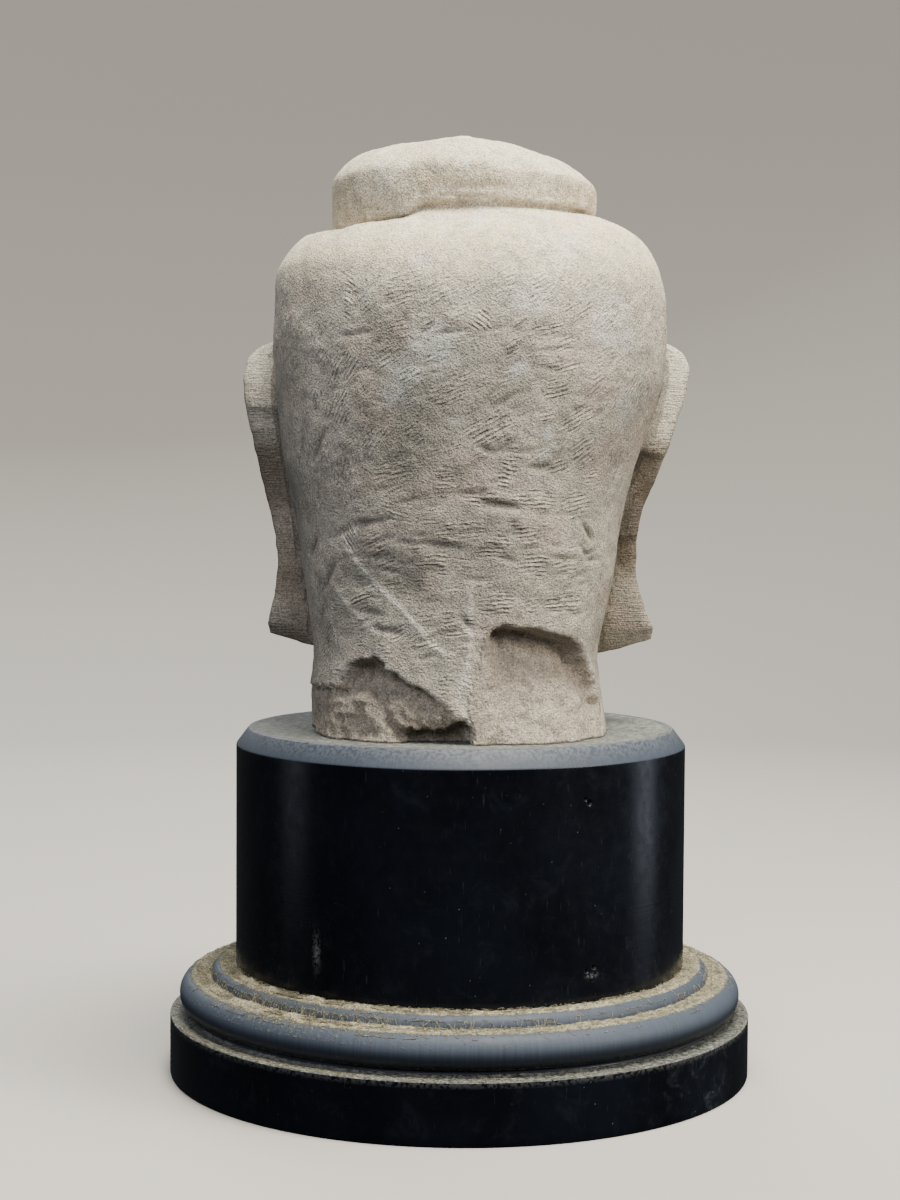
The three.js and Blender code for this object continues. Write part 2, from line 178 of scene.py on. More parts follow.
# Runs of the toothed chisel: turn, height, reach (mm), rise to the right in degrees, force
TOOL_RUNS = [
    (33.8, 203.5, 9, -33, 1.0), (35, 196, 9, -30, 1.0), (33, 190, 8, -28, 0.9), (38.8, 172, 15, 60, 1.0),
    (37, 156, 12, 62, 0.9), (44, 160, 9, 76, 0.7), (30, 200, 8, 52, 0.6), (45, 190, 9, 70, 0.35),
    (-3.5, 192, 8, -42, 1.0), (-5, 183, 7, -46, 0.8), (-11.5, 192, 9, 34, 1.0), (-12, 183, 8, 31, 1.0),
    (-21, 191, 9, 14, 0.8), (-27, 182, 9, 24, 0.8), (-26, 174, 9, 18, 0.7), (-26, 163, 11, 17, 0.9),
    (-37, 166, 10, 40, 0.5), (-10.4, 160, 10, 33, 0.9), (-8, 149, 12, 30, 0.8), (-31.3, 148, 12, 33, 0.9),
    (-36, 138, 12, 38, 0.8), (-24, 152, 9, 15, 0.8), (-17.5, 158, 6, 98, 0.8), (-18, 146, 6, 84, 0.5),
    (24, 141, 12, 58, 0.5), (12, 142, 12, 38, 0.4), (17, 128, 12, 12, 0.4), (33.7, 121.4, 12, 78, 0.5),
    (4, 164, 12, 24, 0.5), (16, 165, 10, 36, 0.4), (7, 180, 12, 26, 0.35), (4, 122, 12, 4, 0.4),
    (-11.8, 88, 14, -2, 1.0), (-3, 98, 11, 3, 0.8), (-22, 98, 12, 8, 0.8), (-20, 82, 12, 4, 0.9),
    (8, 84, 9, 0, 0.8), (22, 90, 10, 20, 0.7), (30, 68, 9, 18, 1.0), (24, 58, 8, 16, 1.0),
    (13, 45, 9, 22, 1.0), (19, 50, 7, 26, 0.9), (3, 60, 10, 6, 0.9), (4, 30, 8, -4, 0.8),
    (-36.4, 78, 12, 8, 0.8), (-36, 64, 12, 4, 0.8), (-14, 64, 9, 2, 0.9), (-6, 112, 12, -4, 0.9),
    (-22, 114, 12, 0, 0.8), (-35, 106, 11, 14, 0.7), (-13, 124, 11, -8, 0.8), (-28, 126, 10, 24, 0.8),
    (21, 108, 10, -10, 0.5), (47, 112, 11, 76, 0.6), (49, 72, 11, 66, 0.7), (46, 46, 10, 40, 0.8),
    (38, 46, 9, 30, 0.9), (36, 92, 8, -58, 0.8), (-49, 160, 16, 62, 0.35),
]  # fmt: skip
# Soft patches: turn, height, reach (mm), strength
STAINS = [
    (21.4, 190, 13, 0.8), (18, 130, 24, 0.9), (-10, 158, 9, 0.6), (-29, 195, 9, 0.4), (14, 76, 11, 0.8),
    (44, 128, 14, 0.5), (60, 120, 16, 0.5), (36, 84, 10, 0.4), (2, 96, 14, 0.35), (-26, 128, 9, 0.4),
]  # fmt: skip
BLOOMS = [
    (17, 171, 9, 0.6), (9, 181, 12, 0.8), (-38, 191, 8, 0.8), (-15, 203, 7, 0.6), (-14.4, 173, 2.6, 1.0),
    (-24, 143, 2.8, 1.0), (-24, 134, 3, 0.9), (13, 221, 3, 0.8), (-31, 230, 6, 0.8), (35, 262, 10, 0.5),
    (-2, 243, 5, 0.6), (-46, 188, 7, 0.6), (-50, 160, 8, 0.5), (-1, 268, 3, 0.8),
]  # fmt: skip
# Hollows rubbed into the back: turn, height, reach (mm), depth
HOLLOWS = [(16, 73, 11, 1.8), (30, 78, 9, 1.2)]
# Pits, drawn only as dark spots of dirt and painted shade: turn, height, reach (mm)
PITS = [(21.1, 189.2, 1.0), (25.1, 184.4, 1.0), (9.9, 171.5, 1.3), (18.5, 191, 0.8), (-19.7, 60, 1.0)]

# ---- Ears ----
# Height, and how far the outer edge stands out along X, for the ear on each side
EAR_EDGES = {
    1: [
        (44.5, 97), (50, 97.5), (60, 95.5), (78, 93.4), (92, 94.6), (116, 99.5), (140, 104.8), (161, 109),
        (172, 109.8), (181, 108.8), (188, 104.5), (193.5, 94),
    ],
    -1: [
        (42.5, 96.5), (48, 97), (60, 92.4), (76, 88.8), (92, 88.8), (108, 91), (126, 98.5), (148, 106),
        (166, 111.5), (178, 113.8), (187, 111), (194, 100),
    ],
}  # fmt: skip
EAR_ROOT = 56  # where the slab of the ear starts inside the head, along X
EAR_TOP = 196
# Where its front face lies along Y, by height
EAR_FRONT = [(42, -39), (95, -38), (130, -42), (170, -48), (186, -45), (194, -33)]
# Where the ear's back face lies along Y: proud at the lobe and the top, stepped and waisted between
EAR_BACKS = {
    1: [
        (42, -17), (50, -9), (51, -8.5), (55, -8), (91, -14.5), (100, -14.5), (146, -7.5), (147, -6.5),
        (156.5, -5.5), (158, -4), (193.5, -20),
    ],
    -1: [
        (41, -17), (48.5, -9), (49.5, -8.5), (54, -8), (88, -14), (93, -14.5), (94, -13), (136, -5.5),
        (138, -4), (194, -19),
    ],
}  # fmt: skip
EAR_STEP_SLANT = {1: 0.0, -1: 0.27}  # how much the steps fall towards the outer edge
EAR_BOX = 6  # the power of the superellipse of its section
EAR_CORNER = 2 ** (-1 / EAR_BOX)
EAR_AROUND = 52
EAR_SLANT = 11  # how much nearer to the head its front edge lies
EAR_CLEARANCE = (1.5, 4)  # what stands this far out of the skull is ear
LOBE_SLOPE = 0.27

# ---- Plinth ----
DRUM_RADIUS = 112
CHAMFER_RUN = 6.25
CHAMFER_DROP = 8.25
DISC_HEIGHT = 29
LOWER_TORUS = (131, 39.25, 8.75)  # radius and height of its centre, radius of its tube
UPPER_TORUS = (118, 47, 6.25)
DRUM_FOOT = 49
EDGE_SOFTNESS = 0.7
DUSTY_TURN = 38  # the side where dust has gathered most, in degrees from the back
# Flight holes of woodworm in the drum: turn from the back (degrees), height, radius
WORM_HOLES = [
    (-31.85, 145.3, 1.1),
    (-30.8, 147, 0.6),
    (-31.5, 67.7, 0.9),
    (-33.6, 69.2, 1.1),
    (-33.1, 66.9, 0.9),
]
HOLE_DEPTH = 3.2
HOLE_MARGIN = 2.2  # degrees beside the holes that have the finer steps
# A rubbed and a chipped spot on the drum: turn, height, reach around and up (mm), strength
SCUFFS = [(36.2, 75, 1.3, 7, 0.45), (-32.9, 65.6, 2.6, 1.1, 0.6)]
# Banks of dust in the two creases: radius and height of the fill, from the inner edge to the outer
DUST_BANKS = {
    "dust_at_drum": [(111.9, 53.2), (113.2, 52.8), (115, 53.3), (117, 53.6), (119, 53.4), (120.6, 52.9)],
    "dust_between_mouldings": [
        (123.4, 49.2), (124.6, 47.6), (126, 47.4), (128, 48.1), (130.5, 48.3), (134, 47.7),
    ],
}  # fmt: skip
DUST_SUNK = 7.0  # how far the underside of each bank lies below its outer edge, inside the wood
# Beds of lint: middle and half-width of their radii, how far fibres rise from them, share of the fibres
LINT_BEDS = [
    (115.6, 3.6, 1.0, 0.36),
    (120.5, 3, 0.25, 0.05),
    (127.5, 4.2, 1.0, 0.37),
    (133, 4, 0.3, 0.08),
    (142.1, 2.1, 0.3, 0.14),
]

# ---- Studio, in metres ----
# Soft lights: name, place, width and height, the setting that holds their power, share of it, colour
SOFTBOXES = [
    ("key", (-0.3, 0.3, 2.0), (1.0, 1.0), "key_power", 1.0, "#fff9ec"),
    ("fill", (0.6, 1.8, 1.25), (1.3, 1.0), "fill_power", 1.0, "#f4f6ff"),
    ("right", (-1.5, 0.75, 0.85), (0.6, 0.6), "side_power", 1.0, "#fff6e8"),
    ("side_right", (-1.9, -0.45, 0.35), (0.5, 1.2), "side_power", 0.15, "#e6eeff"),
    ("side_left", (1.9, 0.05, 0.4), (0.5, 1.2), "side_power", 0.06, "#e6eeff"),
    ("front", (0.5, -1.6, 1.3), (1.0, 1.0), "side_power", 1.1, "#ffffff"),
]
LIT_POINT = (0, 0, 0.3)
CAMERA_PLACE = (0, 1.0604, 0.2818)
CAMERA_TILT, CAMERA_PAN, CAMERA_ROLL = (math.radians(angle) for angle in (2.61, 0.31, 0.33))


# ---- Curves and noise ----
def mix(a, b, t):
    """The value a share t of the way from a to b."""
    return a + (b - a) * t


def smoothstep(low, high, x):
    """0 below low, 1 above high, and 3t^2 - 2t^3 between them."""
    t = np.clip((x - low) / (high - low), 0, 1)
    return t * t * (3 - 2 * t)


def bell(x, width):
    """exp(-(x / width)^2)."""
    return np.exp(-((x / width) ** 2))


def plateau(x, width):
    """exp(-(x / width)^4): flat in the middle, with steep sides."""
    return np.exp(-((x / width) ** 4))


def signed(turn):
    """The same turn between -pi and pi."""
    return (turn + np.pi) % (2 * np.pi) - np.pi


def turned(radius, turn, height):
    """Points at a radius, turn and height about the plinth's axis, on the grid that the three span."""
    return np.stack(np.broadcast_arrays(radius * np.sin(turn), radius * np.cos(turn), height), axis=-1)


def spaced(first, *stretches):
    """Values from first on, with steps near the given size in each stretch (end, step)."""
    values = [np.array([first])]
    for end, step in stretches:
        start = values[-1][-1]
        values.append(np.linspace(start, end, round((end - start) / step) + 1)[1:])
    return np.concatenate(values)


def through(stations, column=1):
    """Monotone cubic through (height, value, ...) stations: each tangent is the harmonic mean of its two
    slopes."""
    at = np.array([station[0] for station in stations], float)
    value = np.array([station[column] for station in stations], float)
    slope = np.diff(value) / np.diff(at)
    product = slope[:-1] * slope[1:]
    total = np.where(product > 0, slope[:-1] + slope[1:], 1)
    tangent = np.concatenate([slope[:1], np.where(product > 0, 2 * product / total, 0), slope[-1:]])

    def curve(x):
        x = np.clip(x, at[0], at[-1])
        i = np.clip(np.searchsorted(at, x, side="right") - 1, 0, len(at) - 2)
        span = at[i + 1] - at[i]
        t = (x - at[i]) / span
        bend = span * t * (1 - t) * ((1 - t) * tangent[i] - t * tangent[i + 1])
        return mix(value[i], value[i + 1], t * t * (3 - 2 * t)) + bend

    return curve


def noise(points, cell, seed):
    """Random values from -1 to 1 on a lattice of the given cell (mm), with quintic blends between its
    corners."""
    rng = np.random.default_rng(seed)
    values = rng.uniform(-1, 1, 4096)
    hop = rng.permutation(4096)
    scaled = points / cell
    corner = np.floor(scaled).astype(int)
    t = scaled - corner
    t = t**3 * (t * (t * 6 - 15) + 10)
    total = 0
    for step in np.ndindex(2, 2, 2):
        x, y, z = np.moveaxis((corner + step) & 4095, -1, 0)
        weight = np.prod(np.where(np.array(step) > 0, t, 1 - t), axis=-1)
        total = total + weight * values[hop[(hop[(hop[x] + y) & 4095] + z) & 4095]]
    return total


def fractal(points, cell, octaves, seed, gain=0.5):
    """Sum of noises, each of half the cell and gain times the height of the one before."""
    return sum(gain**k * noise(points, cell / 2**k, seed + k) for k in range(octaves))


# ---- The head's form ----
ALL_LEVELS = LEVELS + [(height, radius, radius, radius, 0) for height, radius in BUN]
half_width, back_depth, front_depth, shift_x = (through(ALL_LEVELS, column) for column in (1, 2, 3, 4))
squareness = through(SQUARENESS)
groove_curve = through(GROOVE)
face_half_width, face_depth = (through(FACE_LEVELS, column) for column in (1, 2))


def groove_height(turn):
    """Height of the groove under the bun at a turn between -pi and pi."""
    return groove_curve(np.degrees(turn))


def super_radius(s, c, a, b, power):
    """Radius towards the unit direction (s, c) of a superellipse with half-axes a and b."""
    return (np.abs(s / a) ** power + np.abs(c / b) ** power) ** (-1 / power)


def shell(turn, height):
    """Radius before carving and shift along X: a superellipse at each level, smoothly joined in front to
    the oval of the face, and above the groove no wider than the bun's wall."""
    s, c = np.sin(turn), np.cos(turn)
    depth = np.where(c > 0, back_depth(height), front_depth(height))
    column = super_radius(s, c, half_width(height), depth, squareness(height))
    face = super_radius(s, c, face_half_width(height), face_depth(height), FACE_SQUARENESS)
    joined = (column**JAW_BLEND + face**JAW_BLEND) ** (1 / JAW_BLEND)
    with_face = (c < 0) & (height > FACE_LEVELS[0][0]) & (height < FACE_LEVELS[-1][0])
    radius = np.where(with_face, joined, column)
    above = height - groove_height(signed(turn))
    on_wall = smoothstep(-1.1, 0.3, above)
    walled = mix(radius, through(BUN_WALL)(above), on_wall)
    return np.where(height < BUN_WIDEST, walled, radius), shift_x(height) * (1 - on_wall)


# Each carving of the face gives millimetres outwards at u across it and h up it.
def nose(u, h):
    """A ridge with a raised-cosine section that widens downwards, with a bell for each wing and a dent
    each nostril."""
    tip, bridge = NOSE_BASE + 7, BROW - 12
    profile = [(NOSE_BASE, 19), (tip, 19.5), (tip + 7, 16.5), (bridge, 8), (BROW, 4.5), (BROW + 9, 0)]
    ridge = through(profile)(h)
    width = through([(NOSE_BASE, 14.5), (tip + 7, 10.5), (bridge, 8.5), (BROW, 12)])(h)
    across = 0.5 + 0.5 * np.cos(np.pi * np.minimum(1, np.abs(u) / width))
    side = np.abs(u)
    wings = 5.5 * bell(side - 11.5, 4.2) * bell(h - NOSE_BASE - 4.5, 4.6)
    groove = 1.3 * bell(side - 17.2, 1.6) * bell(h - NOSE_BASE - 5, 5)
    under = smoothstep(NOSE_BASE - 4.5, NOSE_BASE + 1, h)
    nostril = 2.6 * bell(side - 7.5, 2.6) * bell(h - NOSE_BASE + 1.6, 1.7)
    return (ridge * across**0.85 + wings) * under - groove - nostril


def eyes(u, h):
    """Sockets under arched brows, and lidded eyes: an oval swelling, a fold above it and a sagging slit
    below it."""
    side = np.abs(u)
    along = (side - EYE_WIDTH) / 17
    brow = BROW + 7.5 * np.sin(np.pi * np.clip((side - 5) / 56, 0, 1))
    below = brow - h
    deepest = smoothstep(-1, 6, below) * (1 - smoothstep(14, 32, below))
    socket = 5.2 * deepest * plateau(side - EYE_WIDTH, 27)
    ridge = 1.3 * bell(below + 1.2, 1.7) * plateau(side - 33, 27)
    ball = 7.4 * np.maximum(0, 1 - (along / 1.12) ** 2 - ((h - EYE) / 11.5) ** 2) ** 0.62
    slit_height = EYE - 6.2 + 4.6 * along**2
    slit = 1.9 * bell(h - slit_height, 1.25) * plateau(along, 1.0)
    lower_lid = 0.9 * bell(h - slit_height + 3.1, 1.3) * plateau(along, 0.95)
    fold = 0.9 * bell(h - (EYE + 8.4 - 6.5 * along**2), 1.1) * plateau(along, 1.02)
    return ball + ridge + lower_lid - socket - slit - fold


def mouth(u, h):
    """Full lips as two swellings with soft rims, a line between them that turns up at its ends, and the
    philtrum."""
    line = MOUTH + 0.0045 * u * u
    top = MOUTH + 8.6 - 1.6 * bell(u, 3.2) - 0.0105 * u * u
    low = MOUTH - 9.6 + 0.0135 * u * u
    mound = 4 * bell(u, 28) * bell(h - MOUTH, 15)
    upper_t = np.clip((h - line) / np.maximum(top - line, 0.5), 0, 1)
    lower_t = np.clip((line - h) / np.maximum(line - low, 0.5), 0, 1)
    upper = 4.6 * np.sin(np.pi * upper_t**0.8) ** 0.7 * (h > line) * plateau(u, 24)
    lower = 5.4 * np.sin(np.pi * lower_t**0.85) ** 0.7 * (h <= line) * plateau(u, 20)
    part = 1.6 * bell(h - line, 1.1) * plateau(u, 25.5)
    corner = 1.8 * bell(np.abs(u) - 26.5, 3.2) * bell(h - MOUTH - 3, 3.4)
    between = smoothstep(MOUTH + 6, MOUTH + 9, h) * (1 - smoothstep(NOSE_BASE - 3, NOSE_BASE, h))
    philtrum = 1.3 * bell(u, 2.7) * between
    return mound + upper + lower - part - corner - philtrum


def chin_and_cheeks(u, h):
    """A round boss of a chin with a hollow above it, and soft cheeks."""
    chin = 5.5 * bell(u, 17) * bell(h - CHIN - 10, 9) - 2.4 * bell(u, 15) * bell(h - CHIN - 21.5, 3.6)
    return chin + 3.8 * bell(np.abs(u) - 38, 20) * bell(h - NOSE_BASE - 4, 22)


def hairline(turn, h):
    """Height of the hair cap's lower edge, which falls towards the temples."""
    return HAIRLINE - 16 * np.abs(turn - np.pi) ** 2


def front_relief(turn, u, h):
    """All carving on the front: the face, the step of the hair cap with its rolled edge, and the folds of
    the neck."""
    c = np.cos(turn)
    facing = smoothstep(0, 0.5, -c)
    carved = nose(u, h) + eyes(u, h) + mouth(u, h) + chin_and_cheeks(u, h)
    folds = -1.5 * (bell(h - 11 - 0.002 * u**2, 1.5) + bell(h - 22 - 0.002 * u**2, 1.5))
    above = h - hairline(turn, h)
    face_side = 1 - smoothstep(-2.2, 0, above)
    cap = -HAIR_STEP * face_side * smoothstep(CHIN + 60, CHIN + 100, h) + 0.9 * bell(above - 2.2, 1.8)
    return facing * (carved * smoothstep(CHIN - 1, CHIN + 5, h) + folds) + cap * smoothstep(0.2, 0.5, -c)


# ---- Wear and tool marks ----
def inside_by(x, y, outline):
    """Distance from (x, y) to a closed outline, positive inside it."""
    nearest = np.full(np.shape(x), 1e9)
    inside = np.zeros(np.shape(x), bool)
    for (ax, ay), (bx, by) in zip(outline, outline[1:] + outline[:1]):
        length = (bx - ax) ** 2 + (by - ay) ** 2
        along = np.clip(((x - ax) * (bx - ax) + (y - ay) * (by - ay)) / length, 0, 1)
        nearest = np.minimum(nearest, np.hypot(x - mix(ax, bx, along), y - mix(ay, by, along)))
        if ay != by:
            inside ^= ((ay > y) != (by > y)) & (x < mix(ax, bx, (y - ay) / (by - ay)))
    return np.where(inside, nearest, -nearest)


def flat_place(turn, height):
    """Where a point of the back lies on the unrolled surface, in millimetres, x growing towards the
    head's left."""
    return np.degrees(turn) * SURFACE_RADIUS * math.pi / 180, height


def beside_line(turn, height, start, end):
    """Distance to the line between two (turn, height) ends on the unrolled surface, positive above it,
    and the share along it."""
    x, y = flat_place(turn, height)
    (ax, ay), (bx, by) = (flat_place(math.radians(end[0]), end[1]) for end in (start, end))
    length = (bx - ax) ** 2 + (by - ay) ** 2
    share = np.clip(((x - ax) * (bx - ax) + (y - ay) * (by - ay)) / length, 0, 1)
    above = ((bx - ax) * (y - ay) - (by - ay) * (x - ax)) * (bx - ax) > 0
    return np.hypot(x - mix(ax, bx, share), y - mix(ay, by, share)) * np.where(above, 1, -1), share


def breaks(turn, height, points):
    """Depth lost at the two breaks, and how much each point is freshly broken stone (0 to 1). Both drop
    sharply at their upper edge and run back out below it; their outlines and floors are pushed about by
    noise."""
    jag = np.stack([fractal(points, 5, 3, 11, 0.6), fractal(points, 5, 3, 12, 0.6)])
    x, y = points[..., 0], height
    at_back = smoothstep(0, 0.25, np.cos(turn))

    # The ragged one: a lumpy floor with a crease, a shallow ledge on the left, and a cavity at its foot.
    ragged = inside_by(x + 1.3 * jag[0], y + 1.1 * jag[1], RAGGED_BREAK)
    ledge = smoothstep(58, 62, x + 1.5 * jag[0])
    hollow = 1.15 * through(RAGGED_DEPTH)(height + 2 * jag[1])
    floor = mix(hollow, 3.4 + 0.6 * smoothstep(22, 5, height), ledge)
    crease_x = through([(0, 27), (4, 29), (10, 35.5), (16, 37), (24, 42)])(height)
    floor += 3.2 * bell(x - crease_x, 2.6) * (1 - smoothstep(17, 27, height))
    lumps = 1.6 * fractal(points, 10, 4, 13, 0.6) + 1.6 * (np.abs(noise(points, 6, 15)) - 0.3)
    floor += lumps * mix(1, 0.35, ledge)
    left_fade = mix(1.3, 9, bell(x - 58, 5) * bell(height - 30, 7))
    ragged_depth = floor * smoothstep(-0.3, 1, ragged / left_fade)
    roof = through([(-6, 7.5), (-4, 9), (-1, 11), (3, 9.5), (7, 7.8), (18, 7.2), (28, 6.3), (31, 3)])(x)
    cavity = 15 * (1 - smoothstep(roof - 1.6, roof + 0.6, height + 1.6 * jag[1]))
    cavity *= smoothstep(-5.6, -4.2, x + 0.4 * jag[0]) * (1 - smoothstep(25, 31, x))

    # The scooped one: a smooth floor that rises gently on the side of the arris.
    scooped = inside_by(x + 0.7 * jag[0], y + 0.7 * jag[1], SCOOPED_BREAK)
    arris_side = smoothstep(-30, -10, x) * (1 - smoothstep(40, 52, height))
    rise = smoothstep(-0.2, 1, scooped / mix(2.4, 20, arris_side))
    scoop_floor = through(SCOOPED_DEPTH)(height) * mix(1, 0.75, arris_side)
    scoop_floor += 0.8 * fractal(points, 9, 4, 17, 0.6) + 0.9 * noise(points, 24, 18)
    depth = np.maximum(np.maximum(ragged_depth, cavity), scoop_floor * rise) * at_back
    fresh = np.maximum(smoothstep(-0.2, 0.8, ragged), smoothstep(-0.2, 0.8, scooped)) * at_back
    return np.maximum(depth, 0), fresh


def gouge_depth(turn, height, gouges):
    """Depth of single chisel cuts: across each a bell that is steep above and shallow below, and a taper
    towards its ends."""
    depth = 0
    for start_turn, start, end_turn, end, width, deep in gouges:
        distance, share = beside_line(turn, height, (start_turn, start), (end_turn, end))
        taper = 0.45 + 0.55 * np.sin(np.pi * np.clip(share * 0.8 + 0.1, 0, 1))
        depth = np.maximum(depth, deep * taper * bell(distance, width * np.where(distance > 0, 0.45, 1.0)))
    return depth


def random_gouges(seed, count):
    """Short cuts scattered over the back: level low down, rising to the right above, and steep beside the
    ears."""
    rng = np.random.default_rng(seed)
    turn, height = rng.uniform(-64, 64, count), rng.uniform(38, 208, count)
    level = np.where(height < 125, rng.normal(4, 9, count), rng.normal(34, 22, count))
    tilt = np.radians(np.where(np.abs(turn) > 44, rng.normal(76, 9, count), level))
    length = rng.uniform(4, 14, count)
    reach = np.degrees(length * np.cos(tilt) / SURFACE_RADIUS)
    width, deep = rng.uniform(0.8, 1.6, count), rng.uniform(0.2, 0.8, count)
    ends = [turn, height, turn - reach, height + length * np.sin(tilt), width, deep]
    return list(map(tuple, np.stack(ends, axis=1)))


SMALL_GOUGES = random_gouges(21, 170)


def arris_height(turn, height):
    """Height of the raised arrises: a sharp-topped bell across each line, stronger and weaker along it."""
    raised = 0
    for line in ARRISES:
        for start, end in zip(line, line[1:]):
            distance, share = beside_line(turn, height, start, end)
            raised = np.maximum(raised, np.exp(-np.abs(distance) / 1.1))
    return raised


def soft_patches(turn, height, points, patches, seed):
    """Blots with ragged rims: the strongest of the bells, each pushed about by noise."""
    wobble = 1 + 0.55 * fractal(points, 11, 4, seed, 0.6)
    x, y = flat_place(turn, height)
    amount = 0
    for patch_turn, patch_height, reach, strength in patches:
        px, py = flat_place(math.radians(patch_turn), patch_height)
        amount = np.maximum(amount, strength * bell(np.hypot(x - px, y - py) * wobble, reach))
    return amount


def filler_runs():
    """Fainter chisel runs on a jittered lattice, for everything between the strong ones: level low down,
    rising to the right above, steep on the left and beside the ears."""
    rng = np.random.default_rng(41)
    runs = []
    for turn in range(-110, 111, 10):
        for height in range(14, 216, 15):
            tilt = 4 if height < 125 else 60 if turn > 22 else 30
            tilt = 78 if abs(turn) > 46 else tilt
            place = turn + rng.uniform(-4, 4), height + rng.uniform(-6, 6)
            reach, direction = rng.uniform(6, 8), tilt + 10 * rng.standard_normal()
            runs.append((*place, reach, direction, rng.uniform(0.15, 0.45)))
    return runs


def tool_place(turn, height):
    """The toothed chisel's runs. Each point belongs to the nearest run, and gets its place across and
    along that run in millimetres, the run's force, and a fade that is 0 where it meets the next one."""
    x, y = flat_place(turn, height)
    nearest, second = np.full(np.shape(x), 1e9), np.full(np.shape(x), 1e9)
    across, along, force, size = (np.zeros(np.shape(x)) for _ in range(4))
    for number, (run_turn, run_height, reach, direction, strength) in enumerate(TOOL_RUNS + filler_runs()):
        ax, ay = flat_place(math.radians(run_turn), run_height)
        s, c = math.sin(math.radians(direction)), math.cos(math.radians(direction))
        # x grows to the left as seen from behind, so a rise to the right has a negative x.
        run_along = (y - ay) * s - (x - ax) * c
        run_across = (x - ax) * s + (y - ay) * c + run_along**2 / 300
        distance = np.hypot(run_along * 0.8, run_across) / reach
        closer = distance < nearest
        second = np.where(closer, nearest, np.minimum(second, distance))
        nearest = np.where(closer, distance, nearest)
        across = np.where(closer, run_across + 37 * number, across)
        along = np.where(closer, run_along, along)
        force = np.where(closer, strength, force)
        size = np.where(closer, reach, size)
    return across, along, force, smoothstep(0.9, 2.4, (second - nearest) * size / 2)


def stroke_relief(across, along):
    """Single strokes of the toothed chisel, 9 mm wide and 17 mm long: each has a level of its own and
    runs in."""
    levels = np.random.default_rng(43).uniform(-1, 1, (64, 64))
    column = np.floor(across / 9)
    shifted = along / 17 + 0.37 * column
    row = np.floor(shifted)
    level = levels[column.astype(int) % 64, row.astype(int) % 64]
    return 0.28 * level + 0.3 * (shifted - row - 0.5) + 0.12 * np.cos(2 * np.pi * across / 9)


def worked_share(turn, height):
    """1 on the back, where the stone is left as the chisel left it, and 0 on the front and above the
    shoulder."""
    return smoothstep(-0.45, 0.1, np.cos(turn)) * (1 - smoothstep(*TOOLED_TO_SMOOTH, height))


def back_relief(turn, height, points):
    """Millimetres outwards on the back: unevenness, strokes, cuts and arrises, less where the stone is
    smooth."""
    worked = worked_share(turn, height)
    across, along, force, fade = tool_place(turn, height)
    relief = 0.8 * noise(points, 34, 1) + 0.35 * fractal(points, 15, 3, 2)
    relief += worked * (force * fade * stroke_relief(across, along) + 0.2 * fractal(points, 6, 2, 4))
    relief += worked * 0.7 * arris_height(turn, height) * (0.6 + 0.6 * noise(points, 7, 16))
    relief -= gouge_depth(turn, height, GOUGES) + worked * gouge_depth(turn, height, SMALL_GOUGES)
    hollows = 0
    for hollow_turn, hollow_height, reach, depth in HOLLOWS:
        away = (np.degrees(turn) - hollow_turn) * 1.5
        hollows = hollows + depth * bell(away, reach) * bell(height - hollow_height, reach)
    return relief - hollows


def bun_relief(turn, height, points):
    """The bun's wear: a flatter facet or two, rubbed corners and chips along its lower edge."""
    above = height - groove_height(turn)
    on_bun = smoothstep(-0.5, 2, above)
    facets = 0.8 * noise(points, 28, 5) + 0.35 * fractal(points, 9, 3, 6)
    chips = 1.1 * smoothstep(0.25, 0.7, fractal(points, 7, 3, 7)) * bell(above - 2, 3)
    return on_bun * (facets - chips)


# ---- Meshes ----
def closed_rings(rings, first, last):
    """Closes rings of points, shape (rings, around, 3), with a fan to one point at each end."""
    count, around = rings.shape[:2]
    points = np.concatenate([rings.reshape(-1, 3), [first, last]])
    corner = np.arange(count * around).reshape(count, around)
    beside = np.roll(corner, -1, axis=1)
    quads = np.stack([corner[:-1], corner[1:], beside[1:], beside[:-1]], axis=-1).reshape(-1, 4)
    first_fan = np.stack([np.full(around, len(points) - 2), corner[0], beside[0]], axis=-1)
    last_fan = np.stack([np.full(around, len(points) - 1), beside[-1], corner[-1]], axis=-1)
    return points, quads, np.concatenate([first_fan, last_fan])


def mesh_piece(name, points, quads, triangles):
    """A smooth-shaded mesh object from points in millimetres, four-sided faces and triangles."""
    corners = np.concatenate([quads.ravel(), triangles.ravel()]).astype(np.int32)
    sizes = np.concatenate([np.full(len(quads), 4), np.full(len(triangles), 3)])
    starts = np.concatenate([[0], np.cumsum(sizes)[:-1]]).astype(np.int32)
    mesh = bpy.data.meshes.new(name)
    mesh.vertices.add(len(points))
    mesh.vertices.foreach_set("co", (points * MM).astype(np.float32).ravel())
    mesh.loops.add(len(corners))
    mesh.loops.foreach_set("vertex_index", corners)
    mesh.polygons.add(len(sizes))
    mesh.polygons.foreach_set("loop_start", starts)
    mesh.polygons.foreach_set("use_smooth", np.ones(len(sizes), bool))
    mesh.update(calc_edges=True)
    piece = bpy.data.objects.new(name, mesh)
    bpy.context.scene.collection.objects.link(piece)
    return piece


def mesh_points(piece):
    """The piece's vertices in millimetres, shape (count, 3)."""
    flat = np.empty(len(piece.data.vertices) * 3, np.float32)
    piece.data.vertices.foreach_get("co", flat)
    return flat.reshape(-1, 3).astype(float) / MM


def give_values(piece, **values):
    """Stores one number at each vertex under each name, for the materials to read."""
    for name, numbers in values.items():
        attribute = piece.data.attributes.new(name, "FLOAT", "POINT")
        attribute.data.foreach_set("value", np.asarray(numbers, np.float32))


def grid_normals(rings):
    """Unit normals of a grid of rings, from the differences to the neighbours each way."""
    around = np.roll(rings, -1, axis=1) - np.roll(rings, 1, axis=1)
    up = np.gradient(rings, axis=0)
    normal = np.cross(up, around)
    return normal / np.maximum(np.linalg.norm(normal, axis=-1, keepdims=True), 1e-9)


